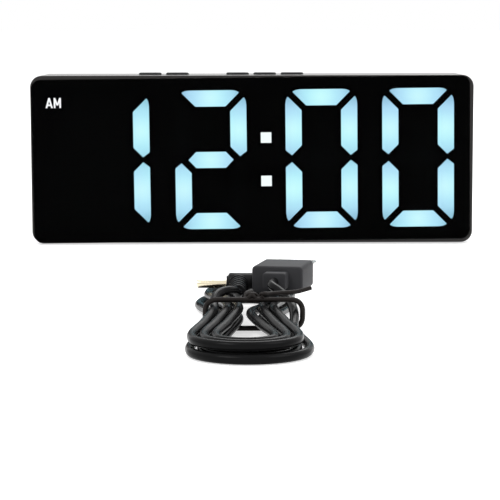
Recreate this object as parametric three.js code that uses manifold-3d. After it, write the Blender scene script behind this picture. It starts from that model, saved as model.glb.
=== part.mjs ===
// Digital alarm clock with its tied power cord, in millimetres.
// +X runs to the right of the display, +Y into the clock and +Z up. The origin is on the surface that it
// stands on, under the middle of the clock. Within the clock, y is the depth behind the case's front plane.
import * as THREE from "three";
import { mergeVertices } from "three/addons/utils/BufferGeometryUtils.js";
import Module from "manifold-3d";

const wasm = await Module();
wasm.setup();

// Case: two shells that meet at a parting plane
const caseWidth = 165;
const caseHeight = 62.5;
const caseCorner = 4.3;
const cornerSteps = 6;
const caseWall = 1.8;
const frontDepth = 22;
const rearDepth = 9;
const footStand = 0.4;
const footRecess = 0.8;
const footRadius = 3.5;
const footInset = 16.5;
const frontFootDepth = 8;

// Clearances: seat between resting faces, fit round a fixed piece, slide round a moving one
const seat = 0.05;
const fit = 0.3;
const slide = 0.25;

// Shapes of one solid run into each other by the lap, and cutters run past the faces they cut
const lap = 0.1;
const past = 1;

// Sides of small hidden bars, of round holes that show, and of the grille's small holes
const barSides = 12;
const holeSides = 24;
const grilleSides = 12;

// Display module, turned a little in the case. Margins and gaps are given along the width and the height
const displayTurn = 0.55;
const displayShift = -0.3;
const lensMargin = [1, 0.75];
const lensCorner = 3.5;
const lensThickness = 1.5;
const maskThickness = 0.3;
const tapeThickness = 0.3;
const tapeInset = 0.5;
const glueBorder = [3.9, 3.1];
const windowCorner = 2;
const diffuserThickness = 2.1;
const webThickness = 0.8;
const webLength = 4.8;
const webWidth = 1.8;
const diffuserMargin = 0.2;
const lightBoxGap = [0.7, 1.05];
const lightBoxDepth = 7.15;
const lightBoxWall = 0.8;
const tipWallFactor = 1.6;
const boardThickness = 1.6;
const lampSize = [2, 1, 1.4];
const chipSize = [12, 1.6, 8];
const crystalPlace = [15, 0.5];
const crystalSize = [6, 2, 3];
const capacitorPlace = [26, -6];
const capacitorRadius = 3;
const capacitorHeight = 3.4;

// Gaps round the digits and the colon, from the left of the window to its right
const leftGap = 13.05;
const hourGap = 9.45;
const beforeColon = 5.25;
const colonSize = 3.95;
const afterColon = 5.3;
const minuteGap = 9.25;
const rightGap = 1.95;
const digitMargin = 1.5;
const colonRise = 8.1;

// A digit is a frame with round outer corners and a bar across it, cut into segments by dark gaps. Its
// upright segments meet at the middle in two-sided points, further apart on the left. A pair of values is for
// the right side and the left
const segmentThickness = 6.05;
const digitCorner = 5.5;
const cornerPoints = 2;
const mitreGap = 2.45;
const segmentRound = 0.5;
const middleRise = [0.35, 0.1];
const middleHalfGap = [0.9, 1.25];
const middleTipInset = [2.5, 2.35];
const middleOuterRise = 1.9;
const barTipSetback = 4.95;
const barShoulderSetback = 7.85;

// The morning mark, the letters AM
const amInset = [4.2, 5.55];
const amHeight = 3.75;
const letterWidth = 2.7;
const letterStroke = 0.62;
const letterGap = 0.35;
const amCellShift = 1;

// Buttons on the top, their tact switches and the key board
const buttonPlaces = { alarm: -38.5, snooze: -28.2, set: -5.4, up: 4.9, down: 15.2 };
const buttonLength = 8.6;
const buttonWidth = 4.2;
const buttonStand = 0.8;
const buttonTravel = 0.5;
const flangeMargin = 0.6;
const flangeThickness = 0.8;
const flangeGap = 0.1;
const plungerRadius = 1.75;
const plungerLength = 3;
const switchSize = 6;
const switchHeight = 3.5;
const plungerShow = 1.5;
const keyBoardThickness = 1.2;
const keyBoardWidth = 8;
const keyBoardOverhang = 8;
const pegPlaces = [-16.8, 24];
const pegRadius = 1.2;
const pegShoulder = 2.4;
const pegHead = 2;
const pegHeadHeight = 0.8;
const ribbonThickness = 0.4;
const ribbonWidth = 8;
const ribbonDrop = 9;

// Case screws
const screwInset = [3.5, 6.75];
const screwRadius = 1;
const screwLength = 10;
const screwHeadRadius = 1.9;
const screwHeadHeight = 1.8;
const screwHeadEdge = 0.5;
const postRadius = 2.3;
const bossWall = 0.9;
const bossFloor = 2;
const slotWidth = 0.6;
const slotLength = 2.4;
const slotDepth = 0.8;

// Battery bay and its hinged door
const cellRadius = 5.25;
const cellLength = 43.3;
const cellEdge = 0.5;
const cellSink = 0.1;
const nubRadius = 1.9;
const nubLength = 1.2;
const cellGap = 0.5;
const cellCount = 3;
const contactRoom = 3.75;
const bayFloor = 1.8;
const bayWall = 1.6;
const bayMargin = 0.8;
const doorLap = [3, 2.7];
const doorThickness = 2;
const doorGap = 0.35;
const doorPocket = 2.9;
const beadRadius = 1.3;
const trunnionRadius = 0.7;
const trunnionLength = 1.2;
const tongueWidth = 12;
const tongueLength = 9;
const tongueSlot = 1;
const gripWidth = 8;
const gripHeight = 1.6;
const contactThickness = 0.4;
const contactWidth = 8;
const contactMargin = 4;
const tabWidth = 1.6;
const tabShow = 1.5;
const springWire = 0.25;
const springTurns = 2;
const springSteps = 8;
const springRadius = 3;
const springTaper = 1;
const ribLength = 29;
const ribThickness = 0.8;
const ribHeight = 2.5;

// Jack, buzzer and the pillars that hold the board
const jackInset = [26.5, 13.6];
const jackSize = [9, 11.5, 7];
const jackSnoutRadius = 2.3;
const jackSnoutLength = 1.5;
const jackBoreRadius = 1.45;
const jackBoreDepth = 9;
const jackPinRadius = 0.4;
const jackPinInset = 1;
const jackRib = 1;
const buzzerInset = [27.5, 22.9];
const buzzerRadius = 8;
const buzzerHeight = 6;
const buzzerMouth = 1.6;
const buzzerMouthDepth = 2;
const buzzerRim = 1.1;
const buzzerRimHeight = 3;
const grilleRadius = 0.9;
const grilleRing = 4;
const grilleHoles = 6;
const pillarRadius = 2;
const pillarInset = [8, 8.4];
const leadRadius = 0.6;

// Cord hank: two layers of flat loops, drawn in at the waist, lying in front of the clock
const cordRadius = 1.25;
const loopPitch = 3.05;
const layerStep = 2.95;
const lobeRadius = 14;
const waistHalf = 8.45;
const farRun = 44;
const nearRun = 36;
const waistLift = 1.9;
const cordLift = 0.05;
const arcSteps = 8;
const runSteps = 4;
const bottomTurns = 3;
const topTurns = 2.5;
const hankSides = 6;
const hankLead = 3;
const hankShift = -1.5;
const hankClear = 145;

// The plugs lie on the far lobe
const usbExit = [7.3, 22.3, 10.3];
const usbTurn = -12.5;
const strainBlock = [6.6, 4.2, 4.8];
const strainCorner = 0.8;
const overmould = [14.5, 16.5, 7.6];
const overmouldCorner = 1.2;
const shellSize = [12, 12, 4.5];
const shellCorner = 0.6;
const shellWall = 0.3;
const shellWindow = [2.6, 2.1];
const shellWindowSpread = 3.1;
const shellWindowBack = 5.2;
const tongueThickness = 1.84;
const tongueInset = 0.5;
const dcPlace = [-2.6, 22.6, 7.4];
const reliefLength = 14;
const reliefRibs = 5;
const reliefRadii = [2, 2.9];
const reliefGroove = 0.7;
const dcBodyRadius = 3.2;
const dcBodyWidth = 7.6;
const collarRadius = 2.4;
const collarLength = 0.5;
const barrelRadius = 1.18;
const barrelBore = 0.55;
const barrelLength = 8.4;

// The tie goes once round the waist, with its knot on top and two free ends
const tieRadius = 0.7;
const tieSpan = [-11.3, 14.6];
const tieTop = 8.6;
const tieCorner = 3;
const tieKnot = [2, 0, 9.4];
const tieKnotRadius = 1.5;
const tieEndRadius = 0.63;
const tieEnds = [
  [tieKnot, [5, 1.3, 9.9], [9, 3, 9.9], [13, 4.4, 10], [17, 6.5, 10.8]],
  [tieKnot, [1.6, 3.5, 10], [1, 7, 9.9], [0.6, 10, 9.4]],
];

// Places that follow from the sizes
const caseDepth = frontDepth + rearDepth;
const caseBottom = footStand;
const caseTop = caseBottom + caseHeight;
const caseMiddle = caseBottom + caseHeight / 2;
const lensStand = tapeThickness + maskThickness + lensThickness + 3 * seat;
const backWallFront = caseDepth - caseWall;
const lightBoxFront = caseWall + seat;
const boardFront = lightBoxFront + lightBoxDepth + seat;
const boardBack = boardFront + boardThickness;
const buttonDepth = boardBack + fit + keyBoardWidth / 2;

const lensWidth = caseWidth - 2 * lensMargin[0];
const lensHeight = caseHeight - 2 * lensMargin[1];
const windowWidth = lensWidth - 2 * glueBorder[0];
const windowHeight = lensHeight - 2 * glueBorder[1];
const screwX = caseWidth / 2 - screwInset[0];
const screwZ = caseHeight / 2 - screwInset[1];
const lightBoxWidth = 2 * (screwX - postRadius - lightBoxGap[0]);
const lightBoxHeight = caseHeight - 2 * (caseWall + lightBoxGap[1]);
const pillarX = lightBoxWidth / 2 - pillarInset[0];
const pillarZ = lightBoxHeight / 2 - pillarInset[1];
const jackPlace = [caseWidth / 2 - jackInset[0], caseBottom + jackInset[1]];
const buzzerPlace = [buzzerInset[0] - caseWidth / 2, caseTop - buzzerInset[1]];

const gapsAcross = leftGap + hourGap + beforeColon + colonSize + afterColon + minuteGap + rightGap;
const digitWidth = (windowWidth - gapsAcross) / 4;
const digitHeight = windowHeight - 2 * digitMargin;
const hourTens = leftGap + digitWidth / 2 - windowWidth / 2;
const hourUnits = hourTens + digitWidth + hourGap;
const colonPlace = hourUnits + digitWidth / 2 + beforeColon + colonSize / 2;
const minuteTens = colonPlace + colonSize / 2 + afterColon + digitWidth / 2;
const minuteUnits = minuteTens + digitWidth + minuteGap;
const digitPlaces = {
  hour_tens: hourTens,
  hour_units: hourUnits,
  minute_tens: minuteTens,
  minute_units: minuteUnits,
};
const amPlace = [amInset[0] - windowWidth / 2, windowHeight / 2 - amInset[1]];

// The key board hangs under the top wall, and the battery bay is midway between it and the bottom wall
const flangeTop = caseTop - caseWall - flangeGap;
const plungerTop = flangeTop - flangeThickness - seat;
const switchTop = plungerTop - plungerShow;
const keyBoardTop = switchTop - switchHeight;
const keyBoardBottom = keyBoardTop - keyBoardThickness;
const pegEnd = keyBoardBottom - seat - pegHeadHeight;
const cellPitch = 2 * cellRadius + cellGap;
const bayMiddle = (caseBottom + caseWall + pegEnd) / 2;
const bayHalfHeight = (cellCount * cellPitch) / 2 + bayMargin;
const doorHeight = 2 * (bayHalfHeight + doorLap[1]);
const doorBottom = bayMiddle - doorHeight / 2;
const hingeDepth = caseDepth - beadRadius;
const hingeHeight = doorBottom + beadRadius;
const pocketFront = caseDepth - doorPocket;
const cellEnd = (cellLength + nubLength) / 2;
const bayHalfLength = cellEnd + contactRoom;
const doorWidth = 2 * (bayHalfLength + doorLap[0]);
const bayEndWall = doorWidth / 2 + doorGap + bayWall - bayHalfLength;
const plateInner = bayHalfLength - seat - contactThickness;
const cellDepth = pocketFront - cellRadius - cellSink;
const bayFront = cellDepth - cellRadius - fit;
const footX = caseWidth / 2 - footInset;
const loopSteps = 2 * (arcSteps + runSteps);

const colours = {
  caseGrey: { color: 0x302e2d, roughness: 0.55, metalness: 0 },
  smoked: { color: 0x050506, roughness: 0.06, metalness: 0 },
  black: { color: 0x121214, roughness: 0.5, metalness: 0 },
  lit: { color: 0xccf6fd, roughness: 0.5, metalness: 0 },
  unlit: { color: 0x2a2d2e, roughness: 0.5, metalness: 0 },
  white: { color: 0xf1f1ee, roughness: 0.55, metalness: 0 },
  board: { color: 0x1f4a33, roughness: 0.5, metalness: 0 },
  steel: { color: 0xc9c9c6, roughness: 0.28, metalness: 1 },
  nickel: { color: 0xd8cfb4, roughness: 0.25, metalness: 1 },
  rubber: { color: 0x1a1a1b, roughness: 0.8, metalness: 0 },
  cell: { color: 0x3a6f9b, roughness: 0.35, metalness: 0.2 },
  red: { color: 0xa32020, roughness: 0.5, metalness: 0 },
  cord: { color: 0x1c1c1e, roughness: 0.42, metalness: 0 },
  overmould: { color: 0x3c3c3e, roughness: 0.5, metalness: 0 },
};

const degrees = (angle) => (angle * Math.PI) / 180;

// Only positions, with shared corners, and every face turned outward
function closed(geometry) {
  geometry.deleteAttribute("normal");
  geometry.deleteAttribute("uv");
  const merged = mergeVertices(geometry, 1e-4);
  const p = merged.attributes.position;
  const index = merged.index.array;
  const [a, b, c] = [new THREE.Vector3(), new THREE.Vector3(), new THREE.Vector3()];
  let volume = 0;
  for (let i = 0; i < index.length; i += 3) {
    a.fromBufferAttribute(p, index[i]);
    b.fromBufferAttribute(p, index[i + 1]);
    c.fromBufferAttribute(p, index[i + 2]);
    volume += a.dot(b.cross(c));
  }
  if (volume < 0) {
    for (let i = 0; i < index.length; i += 3) {
      [index[i], index[i + 1]] = [index[i + 1], index[i]];
    }
  }
  return merged;
}

function solid(geometry) {
  const shape = closed(geometry);
  return new wasm.Manifold(
    new wasm.Mesh({
      numProp: 3,
      vertProperties: new Float32Array(shape.attributes.position.array),
      triVerts: new Uint32Array(shape.index.array),
    }),
  );
}

// One shape from geometries to join and geometries to take away
function carve(joined, removed = []) {
  let shape = solid(joined[0]);
  for (const piece of joined.slice(1)) {
    shape = shape.add(solid(piece));
  }
  for (const piece of removed) {
    shape = shape.subtract(solid(piece));
  }
  const mesh = shape.getMesh();
  const geometry = new THREE.BufferGeometry();
  geometry.setAttribute("position", new THREE.BufferAttribute(mesh.vertProperties, 3));
  geometry.setIndex(new THREE.BufferAttribute(mesh.triVerts, 1));
  return geometry;
}

function block(x, y, z) {
  const geometry = new THREE.BoxGeometry(x[1] - x[0], y[1] - y[0], z[1] - z[0]);
  return geometry.translate((x[0] + x[1]) / 2, (y[0] + y[1]) / 2, (z[0] + z[1]) / 2);
}

const ordered = (one, other) => [Math.min(one, other), Math.max(one, other)];

// Round bars along the depth, the height and the width
function barY(radius, from, to, x, z, sides = barSides) {
  return new THREE.CylinderGeometry(radius, radius, to - from, sides).translate(x, (from + to) / 2, z);
}

function barZ(radius, from, to, x, y, sides = barSides) {
  const bar = new THREE.CylinderGeometry(radius, radius, to - from, sides).rotateX(Math.PI / 2);
  return bar.translate(x, y, (from + to) / 2);
}

function barX(radius, from, to, y, z, sides = barSides) {
  const bar = new THREE.CylinderGeometry(radius, radius, to - from, sides).rotateZ(Math.PI / 2);
  return bar.translate((from + to) / 2, y, z);
}

function roundedRectangle(width, height, radius) {
  const [x, y] = [width / 2 - radius, height / 2 - radius];
  const shape = new THREE.Shape();
  shape.absarc(x, y, radius, 0, Math.PI / 2);
  shape.absarc(-x, y, radius, Math.PI / 2, Math.PI);
  shape.absarc(-x, -y, radius, Math.PI, 1.5 * Math.PI);
  shape.absarc(x, -y, radius, 1.5 * Math.PI, 2 * Math.PI);
  shape.closePath();
  return shape;
}

// An outline drawn as seen from the front, given a thickness in depth
function slab(shape, near, far, height = caseMiddle, curveSegments = 3) {
  const settings = { depth: far - near, bevelEnabled: false, curveSegments };
  const geometry = new THREE.ExtrudeGeometry(shape, settings);
  return geometry.rotateX(Math.PI / 2).translate(0, far, height);
}

// An outline drawn as seen from above, given a height
function lying(shape, bottom, top) {
  const settings = { depth: top - bottom, bevelEnabled: false, curveSegments: 2 };
  const geometry = new THREE.ExtrudeGeometry(shape, settings);
  return geometry.translate(0, 0, bottom);
}

// The short straight ends keep the outline free of doubled points
const stadiumFlat = 0.01;
function stadium(length, width) {
  return roundedRectangle(length, width, width / 2 - stadiumFlat);
}

// A tube whose ends are cut square, along a smooth line through its points
function tube(points, radius, steps, sides = 8) {
  const line = new THREE.CatmullRomCurve3(points.map((point) => new THREE.Vector3(...point)));
  const ring = Array.from({ length: sides }, (_, k) => {
    const turn = (2 * Math.PI * k) / sides;
    return new THREE.Vector2(radius * Math.cos(turn), radius * Math.sin(turn));
  });
  return new THREE.ExtrudeGeometry(new THREE.Shape(ring), { steps, bevelEnabled: false, extrudePath: line });
}

// A tube of short straight lengths through every point, open-ended or joined into a ring. No length runs
// along the axis that its corners are turned about
function coil(points, radius, sides, axis, ringed = false) {
  const count = points.length;
  const positions = [];
  const faces = [];
  points.forEach((point, k) => {
    const before = points[ringed ? (k + count - 1) % count : Math.max(k - 1, 0)];
    const after = points[ringed ? (k + 1) % count : Math.min(k + 1, count - 1)];
    const along = after.clone().sub(before).normalize();
    const side = new THREE.Vector3().crossVectors(along, axis).normalize();
    const over = new THREE.Vector3().crossVectors(side, along);
    for (let s = 0; s < sides; s += 1) {
      const turn = (2 * Math.PI * s) / sides;
      const offset = side.clone().multiplyScalar(radius * Math.cos(turn));
      offset.addScaledVector(over, radius * Math.sin(turn));
      positions.push(point.x + offset.x, point.y + offset.y, point.z + offset.z);
    }
  });
  const rings = ringed ? count : count - 1;
  for (let k = 0; k < rings; k += 1) {
    for (let s = 0; s < sides; s += 1) {
      const [a, b] = [k * sides + s, k * sides + ((s + 1) % sides)];
      const [c, d] = [((k + 1) % count) * sides + s, ((k + 1) % count) * sides + ((s + 1) % sides)];
      faces.push(a, b, c, b, d, c);
    }
  }
  if (!ringed) {
    const last = (count - 1) * sides;
    for (let s = 1; s < sides - 1; s += 1) {
      faces.push(0, s + 1, s, last, last + s, last + s + 1);
    }
  }
  const geometry = new THREE.BufferGeometry();
  geometry.setAttribute("position", new THREE.Float32BufferAttribute(positions, 3));
  geometry.setIndex(faces);
  return closed(geometry);
}

function piece(name, geometry, look) {
  const mesh = new THREE.Mesh(closed(geometry), new THREE.MeshStandardMaterial(colours[look]));
  mesh.name = name;
  return mesh;
}

const mirrorX = (points) => points.map(([x, z, ...round]) => [-x, z, ...round]);
const mirrorZ = (points) => points.map(([x, z, ...round]) => [x, -z, ...round]);

// Outlines of one digit's segments, round the middle of the digit: a to g in the usual order. A corner is its
// x, its z and, where it is rounded, how far from it the rounding starts
function segmentOutlines(margin = 0) {
  const [x, z] = [digitWidth / 2 + margin, digitHeight / 2 + margin];
  const thick = segmentThickness + 2 * margin;
  const radius = digitCorner + margin;
  const halfGap = mitreGap / 2 - margin;
  const mitre = halfGap * Math.SQRT2;
  const spread = Math.asin(halfGap / radius);
  const arc = (from, to) =>
    Array.from({ length: cornerPoints + 1 }, (_, k) => {
      const turn = THREE.MathUtils.lerp(from, to, k / cornerPoints);
      return [x - radius + radius * Math.cos(turn), z - radius + radius * Math.sin(turn)];
    });
  const [topTip, ...topArc] = arc(Math.PI / 4 + spread, Math.PI / 2);
  const topHalf = [[...topTip, segmentRound], ...topArc];
  const topInner = x - thick - mitre;
  const top = [...topHalf, ...mirrorX(topHalf).reverse(), [-topInner, z - thick], [topInner, z - thick]];
  const sideArc = arc(0, Math.PI / 4 - spread);
  const sideTip = sideArc.pop();
  const upright = (side, level) => {
    const tip = [x - margin - middleTipInset[side], middleHalfGap[side] - margin + level * middleRise[side]];
    const inner = x - thick;
    return [
      ...sideArc,
      [...sideTip, segmentRound],
      [inner, z - thick - mitre],
      [inner, tip[1] + tip[0] - inner],
      tip,
      [x, tip[1] + middleOuterRise],
    ];
  };
  const [tips, shoulders] = [x - barTipSetback, x - barShoulderSetback];
  const bar = [
    [-tips, 0],
    [-shoulders, thick / 2],
    [shoulders, thick / 2],
    [tips, 0],
    [shoulders, -thick / 2],
    [-shoulders, -thick / 2],
  ];
  return {
    a: top,
    b: upright(0, 1),
    c: mirrorZ(upright(0, -1)),
    d: mirrorZ(top),
    e: mirrorZ(mirrorX(upright(1, -1))),
    f: mirrorX(upright(1, 1)),
    g: bar,
  };
}

// A closed outline, moved by an offset, with its round corners drawn
function outline(points, offset = [0, 0]) {
  const at = points.map(([x, z]) => new THREE.Vector2(x + offset[0], z + offset[1]));
  const shape = new THREE.Path();
  at.forEach((corner, k) => {
    const before = at[(k + at.length - 1) % at.length];
    const after = at[(k + 1) % at.length];
    const reach = points[k][2] ?? 0;
    const start = corner.clone().add(before.clone().sub(corner).setLength(reach));
    const end = corner.clone().add(after.clone().sub(corner).setLength(reach));
    if (k === 0) {
      shape.moveTo(start.x, start.y);
    } else {
      shape.lineTo(start.x, start.y);
    }
    if (reach > 0) {
      shape.quadraticCurveTo(corner.x, corner.y, end.x, end.y);
    }
  });
  shape.closePath();
  return shape;
}

// The middle of the box round an outline
function middleOf(points) {
  return [0, 1].map((axis) => {
    const places = points.map((point) => point[axis]);
    return (Math.min(...places) + Math.max(...places)) / 2;
  });
}

// The same outline drawn in by a wall on every side, and further at its slanted tips, for a light box cell
function drawnIn(points, wall) {
  const middle = middleOf(points);
  const span = [0, 1].map((axis) => Math.max(...points.map((point) => Math.abs(point[axis] - middle[axis]))));
  const scale = [1 - (tipWallFactor * wall) / span[0], 1 - wall / span[1]];
  const place = (point, axis) => middle[axis] + (point[axis] - middle[axis]) * scale[axis];
  return points.map((point) => [place(point, 0), place(point, 1)]);
}

const rectangle = (width, height) => [
  [-width / 2, -height / 2],
  [width / 2, -height / 2],
  [width / 2, height / 2],
  [-width / 2, height / 2],
];
const square = (size) => rectangle(size, size);

const allSegments = "abcdefg";
const digitSegments = {
  hour_tens: "bc",
  hour_units: allSegments,
  minute_tens: allSegments,
  minute_units: allSegments,
};
const litSegments = { hour_tens: "bc", hour_units: "abged", minute_tens: "abcdef", minute_units: "abcdef" };
const amWidth = 2 * letterWidth + letterGap;

// Every window of the display: its outline, its place and, where it differs, its light box cell
function displayWindows(margin = 0) {
  const segments = segmentOutlines(margin);
  const windows = Object.entries(digitSegments).flatMap(([digit, letters]) =>
    [...letters].map((letter) => ({ points: segments[letter], at: [digitPlaces[digit], 0] })),
  );
  for (const rise of [colonRise, -colonRise]) {
    const at = [colonPlace, rise];
    const cell = { points: square(colonSize - 2 * lightBoxWall), at };
    windows.push({ points: square(colonSize + 2 * margin), at, cell });
  }
  const amCell = rectangle(amWidth - 2 * amCellShift, amHeight);
  const cell = { points: amCell, at: [amPlace[0] + amCellShift, amPlace[1]] };
  windows.push({ points: rectangle(amWidth + fit, amHeight + fit), at: amPlace, cell });
  return windows;
}

function makeLens() {
  const back = -(tapeThickness + maskThickness + 3 * seat);
  const shape = roundedRectangle(lensWidth, lensHeight, lensCorner);
  return piece("front_lens", slab(shape, back - lensThickness, back, caseMiddle, cornerSteps), "smoked");
}

function tapeOutline() {
  return roundedRectangle(lensWidth - 2 * tapeInset, lensHeight - 2 * tapeInset, lensCorner - tapeInset);
}

function makeMask() {
  const back = -(tapeThickness + 2 * seat);
  const shape = tapeOutline();
  shape.holes = displayWindows().map(({ points, at }) => outline(points, at));
  return piece("display_mask", slab(shape, back - maskThickness, back), "black");
}

function makeTape() {
  const shape = tapeOutline();
  shape.holes = [roundedRectangle(windowWidth + 2 * tapeInset, windowHeight + 2 * tapeInset, windowCorner)];
  return piece("lens_tape", slab(shape, -seat - tapeThickness, -seat), "black");
}

// Where short webs cross the gaps between a digit's lit segments, behind their faces: x, z and lean
function webPlaces() {
  const [x, z] = [(digitWidth - segmentThickness) / 2, (digitHeight - segmentThickness) / 2];
  const tipX = (side) => digitWidth / 2 - middleTipInset[side];
  const inner = digitWidth / 2 - segmentThickness;
  const barX = digitWidth / 2 - (barTipSetback + barShoulderSetback) / 2;
  const barWeb = (side, level) => {
    const slantX = (tipX(side) + inner) / 2;
    const slantZ = middleHalfGap[side] + level * middleRise[side] + (tipX(side) - inner) / 2;
    return [(slantX + barX) / 2, (slantZ + segmentThickness / 4) / 2];
  };
  const [right, rightUp] = barWeb(0, 1);
  const [left, leftDown] = barWeb(1, -1);
  return {
    ab: [x, z, 45],
    af: [-x, z, -45],
    cd: [x, -z, -45],
    de: [-x, -z, 45],
    bc: [tipX(0), middleRise[0], 90],
    ef: [-tipX(1), middleRise[1], 90],
    bg: [right, rightUp, -45],
    eg: [-left, -leftDown, -45],
  };
}

const digitWebs = {
  hour_tens: ["bc"],
  hour_units: ["ab", "bg", "eg", "de"],
  minute_tens: ["ab", "bc", "cd", "de", "ef", "af"],
  minute_units: ["ab", "bc", "cd", "de", "ef", "af"],
};

const diffuserBack = caseWall - fit + seat;
const diffuserFront = diffuserBack - diffuserThickness + fit;

function segmentBlock(letter, digit) {
  const path = outline(segmentOutlines(diffuserMargin)[letter], [digitPlaces[digit], 0]);
  return slab(new THREE.Shape(path.getPoints(2)), diffuserFront, caseWall);
}

function makeDigit(digit) {
  const webs = digitWebs[digit].map((name) => {
    const [x, z, lean] = webPlaces()[name];
    const web = block(
      [-webLength / 2, webLength / 2],
      [caseWall - webThickness, caseWall],
      [-webWidth / 2, webWidth / 2],
    );
    return web.rotateY(degrees(lean)).translate(digitPlaces[digit] + x, 0, caseMiddle + z);
  });
  const segments = [...litSegments[digit]].map((letter) => segmentBlock(letter, digit));
  return piece(`${digit}_diffuser`, carve([...segments, ...webs]), "lit");
}

function makeUnlitSegments() {
  const unlit = Object.entries(digitSegments).flatMap(([digit, letters]) =>
    [...letters].filter((letter) => !litSegments[digit].includes(letter)).map((letter) => [digit, letter]),
  );
  return unlit.map(([digit, letter]) =>
    piece(`${digit}_segment_${letter}`, segmentBlock(letter, digit), "unlit"),
  );
}

function makeColon() {
  const half = colonSize / 2 + diffuserMargin;
  const dots = [colonRise, -colonRise].map((rise) =>
    block(
      [colonPlace - half, colonPlace + half],
      [diffuserFront, caseWall],
      [caseMiddle + rise - half, caseMiddle + rise + half],
    ),
  );
  const web = block(
    [colonPlace - webWidth / 2, colonPlace + webWidth / 2],
    [caseWall - webThickness, caseWall],
    [caseMiddle - colonRise, caseMiddle + colonRise],
  );
  return piece("colon_diffuser", carve([...dots, web]), "lit");
}

// The letters A and M stand on one small plate
function makeAm() {
  const [left, bottom] = [amPlace[0] - amWidth / 2, amPlace[1] - amHeight / 2];
  const stroke = (points) => {
    const shape = new THREE.Shape(points.map(([x, z]) => new THREE.Vector2(left + x, bottom + z)));
    return slab(shape, diffuserFront, caseWall - webThickness / 2);
  };
  const [w, h, s] = [letterWidth, amHeight, letterStroke];
  const m = w + letterGap;
  const middle = w / 2;
  const strokes = [
    [[0, 0], [s, 0], [middle + s / 2, h], [middle - s / 2, h]],
    [[w - s, 0], [w, 0], [middle + s / 2, h], [middle - s / 2, h]],
    [[s, h / 5], [w - s, h / 5], [w - s, h / 5 + s], [s, h / 5 + s]],
    [[m, 0], [m + s, 0], [m + s, h], [m, h]],
    [[m + w - s, 0], [m + w, 0], [m + w, h], [m + w - s, h]],
    [[m, h], [m + middle - s / 2, h / 4], [m + middle + s / 2, h / 4], [m + s, h]],
    [[m + w - s, h], [m + middle - s / 2, h / 4], [m + middle + s / 2, h / 4], [m + w, h]],
  ];
  const plate = block(
    [left, left + amWidth],
    [caseWall - webThickness, caseWall],
    [caseMiddle + bottom, caseMiddle + bottom + amHeight],
  );
  return piece("am_diffuser", carve([plate, ...strokes.map(stroke)]), "white");
}

function makeLightBox() {
  const back = lightBoxFront + lightBoxDepth;
  const plate = slab(roundedRectangle(lightBoxWidth, lightBoxHeight, windowCorner), lightBoxFront, back);
  const cells = displayWindows().map(({ points, at, cell }) => {
    const path = outline(cell ? cell.points : drawnIn(points, lightBoxWall), cell ? cell.at : at);
    return slab(new THREE.Shape(path.getPoints()), lightBoxFront - past, back + past);
  });
  return piece("light_box", carve([plate], cells), "white");
}

// A box that stands on the display board
function onBoard([x, z], [width, , height], depth) {
  const [low, middle] = [caseMiddle + z - height / 2, width / 2];
  return block([x - middle, x + middle], depth, [low, low + height]);
}

// The board carries a lamp behind every window and the clock chip on its back
function makeBoard() {
  const lamps = displayWindows().map(({ points, at, cell }) => {
    const middle = cell ? [0, 0] : middleOf(points);
    const [x, z] = cell ? cell.at : at;
    return onBoard([x + middle[0], z + middle[1]], lampSize, [boardFront - lampSize[1], boardFront + lap]);
  });
  const plate = slab(roundedRectangle(lightBoxWidth, lightBoxHeight, windowCorner), boardFront, boardBack);
  const chip = onBoard([0, 0], chipSize, [boardBack - lap, boardBack + chipSize[1]]);
  const crystal = onBoard(crystalPlace, crystalSize, [boardBack - lap, boardBack + crystalSize[1]]);
  const [x, z] = capacitorPlace;
  const capacitor = barY(capacitorRadius, boardBack - lap, boardBack + capacitorHeight, x, caseMiddle + z);
  return piece("led_board", carve([plate, chip, crystal, capacitor, ...lamps]), "board");
}

const feetPlaces = [
  ["front_left", -1, frontFootDepth],
  ["front_right", 1, frontFootDepth],
  ["rear_left", -1, frontDepth + rearDepth / 2],
  ["rear_right", 1, frontDepth + rearDepth / 2],
];

function footPockets(from, to) {
  return feetPlaces
    .filter(([, , depth]) => depth > from && depth < to)
    .map(([, side, depth]) =>
      barZ(footRadius + fit, caseBottom - past, caseBottom + footRecess, side * footX, depth, holeSides),
    );
}

function makeFeet() {
  const top = caseBottom + footRecess - seat;
  return feetPlaces.map(([name, side, depth]) =>
    piece(`foot_${name}`, barZ(footRadius, 0, top, side * footX, depth, holeSides), "rubber"),
  );
}

const screwPlaces = [
  ["top_left", -screwX, caseMiddle + screwZ],
  ["top_right", screwX, caseMiddle + screwZ],
  ["bottom_left", -screwX, caseMiddle - screwZ],
  ["bottom_right", screwX, caseMiddle - screwZ],
];
const postFront = boardBack + fit;
const screwSeat = frontDepth + seat + bossFloor;

// The key board hangs on two pegs with melted heads
function keyPegs() {
  return pegPlaces.flatMap((x) => [
    barZ(pegShoulder, keyBoardTop + seat, caseTop - caseWall / 2, x, buttonDepth),
    barZ(pegRadius, pegEnd, keyBoardTop + past, x, buttonDepth),
    barZ(pegHead, pegEnd, keyBoardBottom - seat, x, buttonDepth),
  ]);
}

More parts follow.
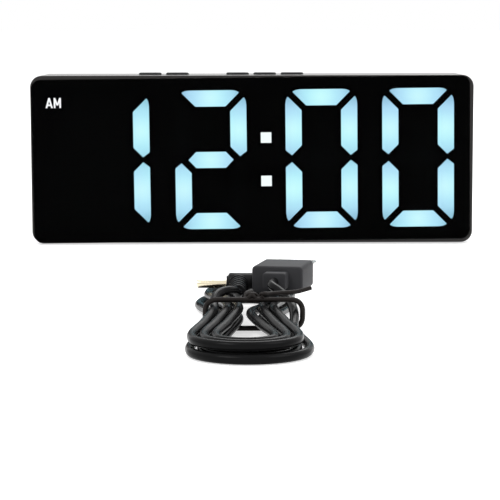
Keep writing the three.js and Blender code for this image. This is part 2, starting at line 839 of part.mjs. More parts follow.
function makeFrontCase() {
  const inner = [caseWidth - 2 * caseWall, caseHeight - 2 * caseWall, caseCorner - caseWall];
  const shell = carve(
    [slab(roundedRectangle(caseWidth, caseHeight, caseCorner), 0, frontDepth, caseMiddle, cornerSteps)],
    [
      slab(roundedRectangle(...inner), caseWall, frontDepth + past),
      slab(roundedRectangle(windowWidth, windowHeight, windowCorner), -past, caseWall + past),
    ],
  );
  const posts = screwPlaces.map(([, x, z]) => barY(postRadius, postFront, frontDepth, x, z));
  const pilots = screwPlaces.map(([, x, z]) =>
    barY(screwRadius + fit, screwSeat - screwLength - fit, frontDepth + past, x, z),
  );
  const keyholes = Object.values(buttonPlaces).map((x) => {
    const hole = stadium(buttonLength + 2 * slide, buttonWidth + 2 * slide);
    return lying(hole, caseTop - caseWall - past, caseTop + past).translate(x, buttonDepth, 0);
  });
  const cuts = [...pilots, ...keyholes, ...footPockets(0, frontDepth)];
  return piece("front_case", carve([shell, ...posts, ...keyPegs()], cuts), "caseGrey");
}

function makeCap(name, x) {
  const cap = lying(stadium(buttonLength, buttonWidth), flangeTop - lap, caseTop + buttonStand);
  const flange = lying(
    stadium(buttonLength + 2 * flangeMargin, buttonWidth + 2 * flangeMargin),
    flangeTop - flangeThickness,
    flangeTop,
  );
  return piece(`${name}_button`, carve([cap, flange]).translate(x, buttonDepth, 0), "black");
}

function makePlunger(name, x) {
  const bar = barZ(plungerRadius, plungerTop - plungerLength, plungerTop, x, buttonDepth);
  return piece(`${name}_switch_plunger`, bar, "white");
}

function makeKeyBoard() {
  const half = switchSize / 2;
  const left = buttonPlaces.alarm - keyBoardOverhang;
  const right = pegPlaces[1] + keyBoardOverhang;
  const places = Object.values(buttonPlaces);
  const plate = block(
    [left, right],
    [buttonDepth - keyBoardWidth / 2, buttonDepth + keyBoardWidth / 2],
    [keyBoardBottom, keyBoardTop],
  );
  const switches = places.map((x) =>
    block([x - half, x + half], [buttonDepth - half, buttonDepth + half], [keyBoardTop - lap, switchTop]),
  );
  const boreBottom = plungerTop - plungerLength - buttonTravel - fit;
  const bores = places.map((x) => barZ(plungerRadius + fit, boreBottom, switchTop + past, x, buttonDepth));
  const pegHoles = pegPlaces.map((x) =>
    barZ(pegRadius + fit, keyBoardBottom - past, keyBoardTop + past, x, buttonDepth),
  );
  return piece("key_board", carve([plate, ...switches], [...bores, ...pegHoles]), "board");
}

// Cells lie along X, one above the other, with every second one turned round
const lowestCell = bayMiddle - ((cellCount - 1) / 2) * cellPitch;
const cellHeights = Array.from({ length: cellCount }, (_, k) => lowestCell + k * cellPitch);
const cellTurn = (k) => (k % 2 === 0 ? 1 : -1);

function makeCells() {
  return cellHeights.map((z, k) => {
    const profile = [
      [0, 0],
      [cellRadius - cellEdge, 0],
      [cellRadius, cellEdge],
      [cellRadius, cellLength - cellEdge],
      [cellRadius - cellEdge, cellLength],
      [nubRadius, cellLength],
      [nubRadius, cellLength + nubLength],
      [0, cellLength + nubLength],
    ].map(([r, h]) => new THREE.Vector2(r, h));
    const cell = new THREE.LatheGeometry(profile, 16);
    cell.translate(0, -cellEnd, 0).rotateZ(degrees(-90 * cellTurn(k)));
    return piece(`battery_cell_${k + 1}`, cell.translate(0, cellDepth, z), "cell");
  });
}

function contactPlate(side, low, high) {
  const outer = side * (bayHalfLength - seat);
  const inner = outer - side * contactThickness;
  const depth = [cellDepth - contactWidth / 2, cellDepth + contactWidth / 2];
  return block(ordered(outer, inner), depth, [low - contactMargin, high + contactMargin]);
}

function contactSpring(side, z) {
  const length = plateInner - cellEnd - fit - springWire;
  const points = Array.from({ length: springTurns * springSteps + 1 }, (_, k) => {
    const share = k / (springTurns * springSteps);
    const turn = (2 * Math.PI * k) / springSteps;
    const radius = springRadius - springTaper * share;
    const x = side * (plateInner + springWire / 2 - share * (length + springWire / 2));
    return new THREE.Vector3(x, cellDepth + radius * Math.cos(turn), z + radius * Math.sin(turn));
  });
  return coil(points, springWire, 5, new THREE.Vector3(1, 0, 0));
}

function contactBump(side, z) {
  const x = ordered(side * (cellEnd + fit), side * (plateInner + contactThickness / 2));
  return barX(nubRadius, x[0], x[1], cellDepth, z, 10);
}

// A solder tab that passes through the end wall of the bay
function contactTab(side, z) {
  const x = ordered(side * plateInner, side * (bayHalfLength + bayEndWall + tabShow));
  const low = cellDepth - contactWidth / 2;
  return block(x, [low, low + contactThickness], [z - tabWidth / 2, z + tabWidth / 2]);
}

function makeContacts() {
  const [low, middle, high] = cellHeights;
  const shapes = {
    contact_negative: [contactPlate(-1, low, low), contactSpring(-1, low), contactTab(-1, low)],
    contact_bridge_right: [contactPlate(1, low, middle), contactBump(1, low), contactSpring(1, middle)],
    contact_bridge_left: [contactPlate(-1, middle, high), contactBump(-1, middle), contactSpring(-1, high)],
    contact_positive: [contactPlate(1, high, high), contactBump(1, high), contactTab(1, high)],
  };
  return Object.entries(shapes).map(([name, joined]) => piece(name, carve(joined), "steel"));
}

function ring(outer, inner, from, to, x, z) {
  return carve([barY(outer, from, to, x, z, 16)], [barY(inner, from - past, to + past, x, z, 16)]);
}

function bayParts() {
  const halfWidth = doorWidth / 2 + doorGap;
  const low = doorBottom - doorGap;
  const high = doorBottom + doorHeight + doorGap;
  const frame = block(
    [-halfWidth - bayWall, halfWidth + bayWall],
    [bayFront - bayFloor, caseDepth],
    [low - bayWall, high + bayWall],
  );
  const cavity = block(
    [-bayHalfLength, bayHalfLength],
    [bayFront, caseDepth + past],
    [bayMiddle - bayHalfHeight, bayMiddle + bayHalfHeight],
  );
  const pocket = block([-halfWidth, halfWidth], [pocketFront, caseDepth + past], [low, high]);
  const holeEnd = halfWidth + trunnionLength;
  const trunnionHole = barX(trunnionRadius + slide, -holeEnd, holeEnd, hingeDepth, hingeHeight);
  const tabLow = cellDepth - contactWidth / 2;
  const tabSlot = (side, z) =>
    block(
      ordered(side * (bayHalfLength - past), side * (bayHalfLength + bayEndWall + past)),
      [tabLow - fit, tabLow + contactThickness + fit],
      [z - tabWidth / 2 - fit, z + tabWidth / 2 + fit],
    );
  const ribs = cellHeights.slice(1).map((z) => {
    const low = z - cellPitch / 2 - ribThickness / 2;
    const depth = [bayFront - lap, bayFront + ribHeight];
    return block([-ribLength / 2, ribLength / 2], depth, [low, low + ribThickness]);
  });
  const slots = [tabSlot(-1, cellHeights[0]), tabSlot(1, cellHeights[cellCount - 1])];
  return { frame, hollows: [cavity, pocket, trunnionHole, ...slots], ribs };
}

function makeRearCover() {
  const near = frontDepth + seat;
  const [bx, bz] = buzzerPlace;
  const [jx, jz] = jackPlace;
  const inner = [caseWidth - 2 * caseWall, caseHeight - 2 * caseWall, caseCorner - caseWall];
  const shell = carve(
    [slab(roundedRectangle(caseWidth, caseHeight, caseCorner), near, caseDepth, caseMiddle, cornerSteps)],
    [slab(roundedRectangle(...inner), near - past, backWallFront)],
  );
  const bossRadius = screwHeadRadius + fit + bossWall;
  const bosses = screwPlaces.map(([, x, z]) => barY(bossRadius, near, backWallFront + lap, x, z));
  const pillars = [-1, 1].flatMap((sx) =>
    [-1, 1].map((sz) =>
      barY(pillarRadius, boardBack + fit, backWallFront + lap, sx * pillarX, caseMiddle + sz * pillarZ),
    ),
  );
  const buzzerInner = buzzerRadius + fit;
  const rimFront = backWallFront - buzzerRimHeight;
  const rim = ring(buzzerInner + buzzerRim, buzzerInner, rimFront, backWallFront + lap, bx, bz);
  const jackSide = jackSize[0] / 2 + fit;
  const jackRibs = [-1, 1].map((side) =>
    block(
      ordered(jx + side * jackSide, jx + side * (jackSide + jackRib)),
      [near, backWallFront + lap],
      [jz - jackSize[2] / 2, jz + jackSize[2] / 2],
    ),
  );
  const bay = bayParts();
  const grille = [[0, 0]];
  for (let k = 0; k < grilleHoles; k += 1) {
    const turn = (2 * Math.PI * k) / grilleHoles;
    grille.push([grilleRing * Math.cos(turn), grilleRing * Math.sin(turn)]);
  }
  const cuts = [
    ...screwPlaces.flatMap(([, x, z]) => [
      barY(screwRadius + fit, near - past, caseDepth, x, z),
      barY(screwHeadRadius + fit, screwSeat, caseDepth + past, x, z, holeSides),
    ]),
    ...grille.map(([x, z]) =>
      barY(grilleRadius, backWallFront - past, caseDepth + past, bx + x, bz + z, grilleSides),
    ),
    barY(jackSnoutRadius + fit, backWallFront - past, caseDepth + past, jx, jz, holeSides),
    ...footPockets(frontDepth, caseDepth),
  ];
  const body = carve([shell, ...bosses, ...pillars, rim, ...jackRibs, bay.frame], [...cuts, ...bay.hollows]);
  return piece("rear_cover", carve([body, ...bay.ribs]), "caseGrey");
}

// The door turns on a round bead along its lower edge, with a trunnion at each end
function makeDoor() {
  const half = doorWidth / 2;
  const top = doorBottom + doorHeight;
  const plate = block([-half, half], [caseDepth - doorThickness, caseDepth], [hingeHeight, top]);
  const bead = barX(beadRadius, -half, half, hingeDepth, hingeHeight);
  const trunnionEnd = half + doorGap + trunnionLength - slide;
  const trunnions = barX(trunnionRadius, -trunnionEnd, trunnionEnd, hingeDepth, hingeHeight);
  const slots = [-1, 1].map((side) =>
    block(
      ordered(side * (tongueWidth / 2), side * (tongueWidth / 2 + tongueSlot)),
      [caseDepth - doorThickness - past, caseDepth + past],
      [top - tongueLength, top + past],
    ),
  );
  const grip = barX(gripHeight / 2, -gripWidth / 2, gripWidth / 2, caseDepth, top - tongueLength / 2, 10);
  return piece("battery_door", carve([plate, bead, trunnions], [...slots, grip]), "caseGrey");
}

function makeScrew(name, x, z) {
  const head = screwHeadHeight;
  const profile = [
    [0, -screwLength],
    [screwRadius, -screwLength],
    [screwRadius, 0],
    [screwHeadRadius, 0],
    [screwHeadRadius, head - screwHeadEdge],
    [screwHeadRadius - screwHeadEdge, head],
    [0, head],
  ].map(([r, y]) => new THREE.Vector2(r, y));
  const [half, deep] = [slotLength / 2, head - slotDepth];
  const cross = [
    block([-half, half], [deep, head + past], [-slotWidth / 2, slotWidth / 2]),
    block([-slotWidth / 2, slotWidth / 2], [deep, head + past], [-half, half]),
  ];
  const screw = carve([new THREE.LatheGeometry(profile, holeSides)], cross);
  return piece(`case_screw_${name}`, screw.translate(x, screwSeat + seat, z), "steel");
}

function makeJack() {
  const [x, z] = jackPlace;
  const [width, depth, height] = jackSize;
  const back = backWallFront - seat;
  const mouth = back + jackSnoutLength;
  const body = block([x - width / 2, x + width / 2], [back - depth, back], [z - height / 2, z + height / 2]);
  const snout = barY(jackSnoutRadius, back - lap, mouth, x, z, holeSides);
  const bore = barY(jackBoreRadius, mouth - jackBoreDepth, mouth + past, x, z, holeSides);
  const pin = barY(jackPinRadius, mouth - jackBoreDepth - lap, mouth - jackPinInset, x, z, 8);
  const socket = carve([body, snout], [bore]);
  return piece("dc_jack", carve([socket, pin]), "black");
}

function makeBuzzer() {
  const [x, z] = buzzerPlace;
  const back = backWallFront - seat;
  const can = barY(buzzerRadius, back - buzzerHeight, back, x, z, 16);
  const mouth = barY(buzzerMouth, back - buzzerMouthDepth, back + past, x, z, 8);
  return piece("buzzer", carve([can], [mouth]), "black");
}

// Leads inside the case, from their terminals by chosen points to the back of the display board
const leadEnd = boardBack + fit;
const tabEnd = bayHalfLength + bayEndWall + tabShow + fit;
const tabDepth = cellDepth - contactWidth / 2 + contactThickness / 2;
const [jackX, jackZ] = jackPlace;
const [buzzerX, buzzerZ] = buzzerPlace;
const leads = {
  battery_lead_black: {
    look: "black",
    points: [
      [-tabEnd, tabDepth, cellHeights[0]],
      [-tabEnd - 2, tabDepth, cellHeights[0]],
      [-tabEnd - 6, tabDepth - 1.5, cellHeights[0] + 3],
      [-tabEnd - 9, 14, cellHeights[0] + 8],
      [-tabEnd - 10, leadEnd + 1.5, cellHeights[0] + 9],
      [-tabEnd - 10, leadEnd, cellHeights[0] + 9],
    ],
  },
  battery_lead_red: {
    look: "red",
    points: [
      [tabEnd, tabDepth, cellHeights[cellCount - 1]],
      [tabEnd + 2, tabDepth, cellHeights[cellCount - 1]],
      [tabEnd + 6, tabDepth - 1.5, cellHeights[cellCount - 1] - 3],
      [tabEnd + 9, 14, cellHeights[cellCount - 1] - 8],
      [tabEnd + 10, leadEnd + 1.5, cellHeights[cellCount - 1] - 9],
      [tabEnd + 10, leadEnd, cellHeights[cellCount - 1] - 9],
    ],
  },
  jack_lead: {
    look: "red",
    points: [
      [jackX, backWallFront - seat - jackSize[1] - fit, jackZ],
      [jackX, backWallFront - seat - jackSize[1] - fit - 2, jackZ],
      [jackX - 1, 14, jackZ + 4],
      [jackX - 2, leadEnd + 1.5, jackZ + 8],
      [jackX - 2, leadEnd, jackZ + 8],
    ],
  },
  buzzer_lead: {
    look: "black",
    points: [
      [buzzerX, backWallFront - seat - buzzerHeight - fit, buzzerZ],
      [buzzerX, backWallFront - seat - buzzerHeight - fit - 2, buzzerZ],
      [buzzerX + 2, 16, buzzerZ - 3],
      [buzzerX + 4, leadEnd + 1.5, buzzerZ - 6],
      [buzzerX + 4, leadEnd, buzzerZ - 6],
    ],
  },
};

// A flat ribbon from the back of the display board to the underside of the key board
function makeRibbon() {
  const near = boardBack + seat;
  const top = keyBoardBottom - seat;
  const bend = keyBoardBottom - 0.4 * ribbonDrop;
  const side = [
    [near, keyBoardBottom - ribbonDrop],
    [near + ribbonThickness, keyBoardBottom - ribbonDrop],
    [near + ribbonThickness, bend - ribbonThickness],
    [buttonDepth - 1, top - ribbonThickness],
    [buttonDepth + 2, top - ribbonThickness],
    [buttonDepth + 2, top],
    [buttonDepth - 1 - ribbonThickness, top],
    [near, bend],
  ];
  const shape = new THREE.Shape(side.map(([y, z]) => new THREE.Vector2(y, z)));
  const strip = new THREE.ExtrudeGeometry(shape, { depth: ribbonWidth, bevelEnabled: false });
  const [x, y, z] = [new THREE.Vector3(1, 0, 0), new THREE.Vector3(0, 1, 0), new THREE.Vector3(0, 0, 1)];
  strip.applyMatrix4(new THREE.Matrix4().makeBasis(y, z, x));
  return piece("key_ribbon", strip, "white");
}

// The hank's frame: its waist is at the origin, +Y points to the clock and the cord lies on z = 0
const quarter = runSteps / 2;
const bottomSteps = bottomTurns * loopSteps;
const hankSteps = Math.round((bottomTurns + topTurns) * loopSteps) - 1;
const share = (y) => Math.min(Math.abs(y) / (y > 0 ? farRun : nearRun), 1);
const sideOf = (y) => waistHalf + (lobeRadius - waistHalf) * Math.sin((Math.PI / 2) * share(y)) ** 2;
const liftOf = (y) => waistLift * Math.cos((Math.PI / 2) * share(y)) ** 2;

// Where the loop's outline is after so many steps from the right of the waist, drawn in by an inset
function loopPlace(step, inset) {
  const radius = lobeRadius - inset;
  let k = step % loopSteps;
  if (k <= quarter) {
    const y = (-nearRun * k) / quarter;
    return [sideOf(y) - inset, y];
  }
  k -= quarter;
  if (k <= arcSteps) {
    const turn = (Math.PI * k) / arcSteps;
    return [radius * Math.cos(turn), -nearRun - radius * Math.sin(turn)];
  }
  k -= arcSteps;
  if (k <= runSteps) {
    const y = k <= quarter ? nearRun * (k / quarter - 1) : farRun * (k / quarter - 1);
    return [inset - sideOf(y), y];
  }
  k -= runSteps;
  if (k <= arcSteps) {
    const turn = (Math.PI * k) / arcSteps;
    return [-radius * Math.cos(turn), farRun + radius * Math.sin(turn)];
  }
  const y = farRun * (1 - (k - arcSteps) / quarter);
  return [sideOf(y) - inset, y];
}

// The spiral runs inward on the bottom layer, climbs along a run and runs outward on the top layer
function hankPoint(step) {
  const turns = step / loopSteps;
  const inset = loopPitch * (step <= bottomSteps ? turns - 0.5 : bottomTurns + topTurns - turns);
  const [x, y] = loopPlace(step, inset);
  const climb = Math.min(Math.max((step - bottomSteps + quarter) / runSteps, 0), 1);
  return new THREE.Vector3(x, y, cordLift + cordRadius + liftOf(y) + layerStep * climb);
}

const hankLine = Array.from({ length: hankSteps }, (_, k) => hankPoint(k + 1));
const startRun = hankLine[0].clone().sub(hankLine[1]).normalize();
const endRun = hankLine[hankSteps - 1].clone().sub(hankLine[hankSteps - 2]).normalize();
hankLine.unshift(hankLine[0].clone().addScaledVector(startRun, hankLead));
hankLine.push(hankLine[hankSteps].clone().addScaledVector(endRun, hankLead));

// The least gap between stretches of a line that aren't next to each other along it
function leastGap(line, radius, apart) {
  const places = [];
  let run = 0;
  for (let k = 1; k < line.length; k += 1) {
    const length = line[k].distanceTo(line[k - 1]);
    for (let part = 0; part < 1; part += 0.125) {
      places.push({ at: line[k - 1].clone().lerp(line[k], part), run: run + part * length });
    }
    run += length;
  }
  let least = Infinity;
  places.forEach((one, k) => {
    for (const other of places.slice(k + 1)) {
      if (other.run - one.run > apart) {
        least = Math.min(least, one.at.distanceTo(other.at));
      }
    }
  });
  return { gap: least - 2 * radius, length: run };
}

function makeHank() {
  const { gap, length } = leastGap(hankLine, cordRadius, 10 * cordRadius);
  console.log(`cable_hank: least gap ${gap.toFixed(2)} mm, length ${length.toFixed(0)} mm`);
  return piece("cable_hank", coil(hankLine, cordRadius, hankSides, new THREE.Vector3(0, 0, 1)), "cord");
}

const usbAlong = new THREE.Vector3(0, 1, 0).applyAxisAngle(new THREE.Vector3(0, 0, 1), degrees(usbTurn));
const fromExit = (reach) => new THREE.Vector3(...usbExit).addScaledVector(usbAlong, -reach).toArray();
const beforeHank = (reach) => hankLine[0].clone().addScaledVector(startRun, reach).toArray();
const afterHank = (reach) => hankLine[hankLine.length - 1].clone().addScaledVector(endRun, reach).toArray();

// The free stretches of cord from the plugs to the hank
const usbTail = [
  fromExit(fit),
  fromExit(2 * cordRadius + fit),
  [6.8, 15.4, 10.1],
  [9.1, 11, 8.9],
  [11.3, 6.5, 7.2],
  [12.2, 1, 5.6],
  [12.3, -5, 4],
  [12, -9.5, 2.9],
  beforeHank(2 * cordRadius + fit),
  beforeHank(fit),
];
const dcTail = [
  afterHank(fit),
  afterHank(2 * cordRadius + fit),
  [-9.5, -7, 5.8],
  [-8.95, 0, 6.2],
  [-9.1, 4, 7],
  [-8.7, 7.5, 8.2],
  [-7.2, 11, 9],
  [-5.1, 14, 9.1],
  [-3.5, 17, 8.5],
  [dcPlace[0], dcPlace[1] - 2 * cordRadius - fit, dcPlace[2]],
  [dcPlace[0], dcPlace[1] - fit, dcPlace[2]],
];

function makeUsbPlug() {
  const [blockLength, bodyLength] = [strainBlock[1], overmould[1]];
  const bodyEnd = blockLength + bodyLength;
  const shellStart = bodyEnd + seat;
  const shellEnd = shellStart + shellSize[1];
  const body = carve([
    slab(roundedRectangle(strainBlock[0], strainBlock[2], strainCorner), 0, blockLength + lap, 0),
    slab(roundedRectangle(overmould[0], overmould[2], overmouldCorner), blockLength, bodyEnd, 0),
  ]);
  const inner = [shellSize[0] - 2 * shellWall, shellSize[2] - 2 * shellWall];
  const windows = [-1, 1].map((side) =>
    block(
      [side * shellWindowSpread - shellWindow[0] / 2, side * shellWindowSpread + shellWindow[0] / 2],
      [shellEnd - shellWindowBack - shellWindow[1] / 2, shellEnd - shellWindowBack + shellWindow[1] / 2],
      [-shellSize[2], shellSize[2]],
    ),
  );
  const outside = roundedRectangle(shellSize[0], shellSize[2], shellCorner);
  const inside = roundedRectangle(...inner, shellCorner - shellWall);
  const shell = carve(
    [slab(outside, shellStart, shellEnd, 0)],
    [slab(inside, shellStart - past, shellEnd + past, 0), ...windows],
  );
  const tongue = block(
    [-inner[0] / 2 + fit, inner[0] / 2 - fit],
    [shellStart, shellEnd - tongueInset],
    [-inner[1] / 2 + seat, -inner[1] / 2 + seat + tongueThickness],
  );
  const plug = new THREE.Group();
  plug.position.set(...usbExit);
  plug.rotation.z = degrees(usbTurn);
  plug.add(piece("usb_plug_body", body, "overmould"));
  plug.add(piece("usb_plug_shell", shell, "steel"));
  plug.add(piece("usb_plug_tongue", tongue, "white"));
  return plug;
}

function makeDcPlug() {
  const rib = reliefLength / (2 * reliefRibs);
  const profile = [[0, 0]];
  for (let k = 0; k < reliefRibs; k += 1) {
    const from = THREE.MathUtils.lerp(...reliefRadii, k / reliefRibs);
    const to = THREE.MathUtils.lerp(...reliefRadii, (k + 1) / reliefRibs);
    profile.push([from, 2 * k * rib], [from, (2 * k + 1) * rib]);
    profile.push([from - reliefGroove, (2 * k + 1) * rib], [to - reliefGroove, (2 * k + 2) * rib]);
  }
  profile.push([reliefRadii[1], reliefLength], [reliefRadii[1], reliefLength + rib], [0, reliefLength + rib]);
  const relief = new THREE.LatheGeometry(profile.map(([r, y]) => new THREE.Vector2(r, y)), 10);
  const middle = reliefLength + dcBodyRadius - lap;
  const left = -reliefRadii[1] - lap;
  const body = barX(dcBodyRadius, left, left + dcBodyWidth, middle, 0);
  const collar = barX(collarRadius, left - collarLength, left + lap, middle, 0);
  const root = left - collarLength - seat;
  const barrel = barX(barrelRadius, root - barrelLength, root, middle, 0);
  const bore = barX(barrelBore, root - barrelLength - past, root - barrelLength / 2, middle, 0, 8);
  const plug = new THREE.Group();
  plug.position.set(...dcPlace);
  plug.add(piece("dc_plug_body", carve([relief, body, collar]), "black"));
  plug.add(piece("dc_plug_barrel", carve([barrel], [bore]), "nickel"));
  return plug;
}

function makeTie() {
  const bottom = cordLift + tieRadius;
  const corners = [
    [tieSpan[1] - tieCorner, tieTop - tieCorner, 0],
    [tieSpan[0] + tieCorner, tieTop - tieCorner, 90],
    [tieSpan[0] + tieCorner, bottom + tieCorner, 180],
    [tieSpan[1] - tieCorner, bottom + tieCorner, 270],
  ];
  const line = corners.flatMap(([x, z, start]) =>
    [0, 30, 60, 90].map((turn) => {
      const angle = degrees(start + turn);
      return new THREE.Vector3(x + tieCorner * Math.cos(angle), 0, z + tieCorner * Math.sin(angle));
    }),
  );
  const loop = coil(line, tieRadius, 6, new THREE.Vector3(0, 1, 0), true);
  const knot = new THREE.SphereGeometry(tieKnotRadius, 8, 6).translate(...tieKnot);
  const ends = tieEnds.map((points) => tube(points, tieEndRadius, 8, 6));
  return piece("cable_tie", carve([loop, knot, ...ends]), "black");
}

function makeCord() {
  const cord = new THREE.Group();
  const waist = hankClear + farRun + lobeRadius + cordRadius;
  cord.position.set(hankShift, -lensStand - waist, 0);
  cord.add(makeHank(), makeTie(), makeUsbPlug(), makeDcPlug());
  cord.add(piece("cable_tail_usb", tube(usbTail, cordRadius, 16), "cord"));
  cord.add(piece("cable_tail_dc", tube(dcTail, cordRadius, 16), "cord"));
  return cord;
}

function makeDisplay() {
  const display = new THREE.Group();
  display.add(makeLens(), makeMask(), makeTape(), makeLightBox(), makeBoard(), makeColon(), makeAm());
  display.add(...Object.keys(digitPlaces).map(makeDigit), ...makeUnlitSegments());
  display.position.set(displayShift, 0, caseMiddle);
  display.rotation.y = degrees(-displayTurn);
  for (const part of display.children) {
    part.geometry.translate(0, 0, -caseMiddle);
  }
  return display;
}

const group = new THREE.Group();
group.position.y = (lensStand - caseDepth) / 2;
group.add(makeFrontCase(), makeRearCover(), makeDoor());
group.add(makeKeyBoard(), makeRibbon(), makeJack(), makeBuzzer());
group.add(...makeFeet(), ...makeCells(), ...makeContacts());
group.add(...screwPlaces.map(([name, x, z]) => makeScrew(name, x, z)));
for (const [name, x] of Object.entries(buttonPlaces)) {
  group.add(makeCap(name, x), makePlunger(name, x));
}
for (const [name, { look, points }] of Object.entries(leads)) {
  group.add(piece(name, tube(points, leadRadius, 14, 6), look));
}
group.add(makeDisplay(), makeCord());

export default group;
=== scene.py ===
"""Looks of a digital alarm clock with its tied power cord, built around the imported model."""
import math

import bmesh
import bpy
import numpy as np
from mathutils import Matrix, Vector


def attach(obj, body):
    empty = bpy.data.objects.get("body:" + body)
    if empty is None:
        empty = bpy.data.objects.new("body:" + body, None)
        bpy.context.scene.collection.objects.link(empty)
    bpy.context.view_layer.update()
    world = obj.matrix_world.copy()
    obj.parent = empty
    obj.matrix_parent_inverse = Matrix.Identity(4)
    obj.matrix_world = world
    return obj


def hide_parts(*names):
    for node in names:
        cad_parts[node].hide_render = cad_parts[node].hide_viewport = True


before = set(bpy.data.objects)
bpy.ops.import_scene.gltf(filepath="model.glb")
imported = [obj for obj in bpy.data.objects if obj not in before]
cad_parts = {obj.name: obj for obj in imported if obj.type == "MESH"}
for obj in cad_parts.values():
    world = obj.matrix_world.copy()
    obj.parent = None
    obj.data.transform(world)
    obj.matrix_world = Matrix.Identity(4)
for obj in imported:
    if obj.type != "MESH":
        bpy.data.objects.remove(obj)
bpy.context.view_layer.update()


# Camera. It stands 0.7 m in front of the panel, a little higher than the clock's top, and looks slightly
# down, so that the top shows as a thin band. A long lens keeps the face almost square.
mm = 0.001
eye = Vector((-0.84, -716.6, 80)) * mm
looking_down = math.radians(6.695)
leaning = math.radians(-0.135)
forward = Vector((0, math.cos(looking_down), -math.sin(looking_down)))
level = Vector((1, 0, 0))
rise = level.cross(forward)
across = level * math.cos(leaning) + rise * math.sin(leaning)
upward = rise * math.cos(leaning) - level * math.sin(leaning)
camera_data = bpy.data.cameras.new("camera")
camera_data.sensor_width = 36
camera_data.lens = 135.57
camera_data.clip_start = 0.01
camera = bpy.data.objects.new("camera", camera_data)
camera.matrix_world = Matrix(
    [[across[i], upward[i], -forward[i], eye[i]] for i in range(3)] + [[0, 0, 0, 1]]
)
bpy.context.scene.collection.objects.link(camera)
bpy.context.scene.camera = camera
bpy.context.scene.view_settings.view_transform = "Standard"


# Power cord. Thin round black PVC, 2.5 mm across and about 1.3 m long, wound into a flat hank of two layers.
# One tube follows the whole route: out of the USB plug, round the loops and into the round plug.
cord_radius = 1.25
hank_middle = np.array([-1.5, -220.875, 0])
arc_steps, run_steps = 8, 4
loop_steps = 2 * (arc_steps + run_steps)
half_run = run_steps / 2
bottom_turns, top_turns = 3, 2.5
loop_pitch, layer_step = 3.05, 2.95
lobe_radius, waist_half = 14, 8.45
far_run, near_run = 44, 36
lift_at_waist = 1.9
rest_height = 0.05
hank_lead = 3


def hank_points():
    """One point for each step of the hank's winding.

    Each loop is two half circles joined by two runs that draw in at the waist by a squared sine. The inset
    grows by the pitch for each turn on the bottom layer, and shrinks again on the top layer.
    """
    step = np.arange(1, round((bottom_turns + top_turns) * loop_steps), dtype=float)
    turns = step / loop_steps
    bottom_end = bottom_turns * loop_steps
    inset = loop_pitch * np.where(step <= bottom_end, turns - 0.5, bottom_turns + top_turns - turns)
    k = step % loop_steps
    near_arc = (k - half_run) * math.pi / arc_steps
    left = k - half_run - arc_steps
    far_arc = (left - run_steps) * math.pi / arc_steps
    last = left - run_steps - arc_steps
    near_y, far_y = -near_run, far_run
    part = [k <= half_run, k <= half_run + arc_steps, left <= run_steps, left <= run_steps + arc_steps]
    left_y = np.where(left <= half_run, near_run, far_run) * (left / half_run - 1)
    y = np.select(
        part,
        [
            near_y * k / half_run,
            near_y - (lobe_radius - inset) * np.sin(near_arc),
            left_y,
            far_y + (lobe_radius - inset) * np.sin(far_arc),
        ],
        far_y * (1 - last / half_run),
    )
    reach = np.clip(np.where(y > 0, y / far_run, -y / near_run), 0, 1)
    run_x = waist_half + (lobe_radius - waist_half) * np.sin(math.pi / 2 * reach) ** 2 - inset
    x = np.select(
        part,
        [run_x, (lobe_radius - inset) * np.cos(near_arc), -run_x, -(lobe_radius - inset) * np.cos(far_arc)],
        run_x,
    )
    climb = np.clip((step - bottom_end + half_run) / run_steps, 0, 1)
    lift = lift_at_waist * np.cos(math.pi / 2 * reach) ** 2
    return np.stack([x, y, rest_height + cord_radius + lift + layer_step * climb], axis=1)


def beyond(end, before, reach):
    """The point that lies the reach past an end, in line with the point before it."""
    away = end - before
    return end + away / np.linalg.norm(away) * reach


def smooth_line(points, per_span):
    """A smooth line through every point: cubic spans whose slopes average the chords on both sides."""
    points = np.asarray(points, float)
    chord = np.diff(points, axis=0)
    span = np.linalg.norm(chord, axis=1)[:, None]
    slope = chord / span
    inner = (slope[:-1] * span[1:] + slope[1:] * span[:-1]) / (span[1:] + span[:-1])
    tangent = np.vstack([slope[:1], inner, slope[-1:]])
    u = (np.arange(per_span) / per_span)[None, :, None]
    a, b = points[:-1, None], points[1:, None]
    ta, tb = (tangent[:-1] * span)[:, None], (tangent[1:] * span)[:, None]
    line = a * (2 * u**3 - 3 * u**2 + 1) + ta * (u**3 - 2 * u**2 + u)
    line = line + b * (3 * u**2 - 2 * u**3) + tb * (u**3 - u**2)
    return np.vstack([line.reshape(-1, 3), points[-1:]])


def tube_rings(line, radius, sides, axis=(0, 0, 1)):
    """Circles of one radius square to the line, one at each of its points.

    Each starts on the side that is square to both the line and the axis.
    """
    along = np.gradient(line, axis=0)
    along /= np.linalg.norm(along, axis=1)[:, None]
    side = np.cross(along, axis)
    side /= np.linalg.norm(side, axis=1)[:, None]
    over = np.cross(side, along)
    turn = np.linspace(0, 2 * math.pi, sides, endpoint=False)[None, :, None]
    return line[:, None] + radius * (np.cos(turn) * side[:, None] + np.sin(turn) * over[:, None])


def skin(rings, looped=False):
    """Points and faces of a closed surface over rings of equal counts.

    The ends close with a fan round their middle, or the last ring joins the first.
    """
    count, sides = rings.shape[:2]
    index = np.arange(count * sides).reshape(count, sides)
    rows = index if not looped else np.vstack([index, index[:1]])
    near, far = rows[:-1], rows[1:]
    quads = np.stack([near, np.roll(near, -1, 1), np.roll(far, -1, 1), far], axis=-1).reshape(-1, 4)
    points = rings.reshape(-1, 3)
    faces = quads.tolist()
    if not looped:
        points = np.vstack([points, rings[0].mean(0), rings[-1].mean(0)])
        first, last = count * sides, count * sides + 1
        faces += np.stack([np.roll(index[0], -1), index[0], np.full(sides, first)], axis=-1).tolist()
        faces += np.stack([index[-1], np.roll(index[-1], -1), np.full(sides, last)], axis=-1).tolist()
    return points, faces


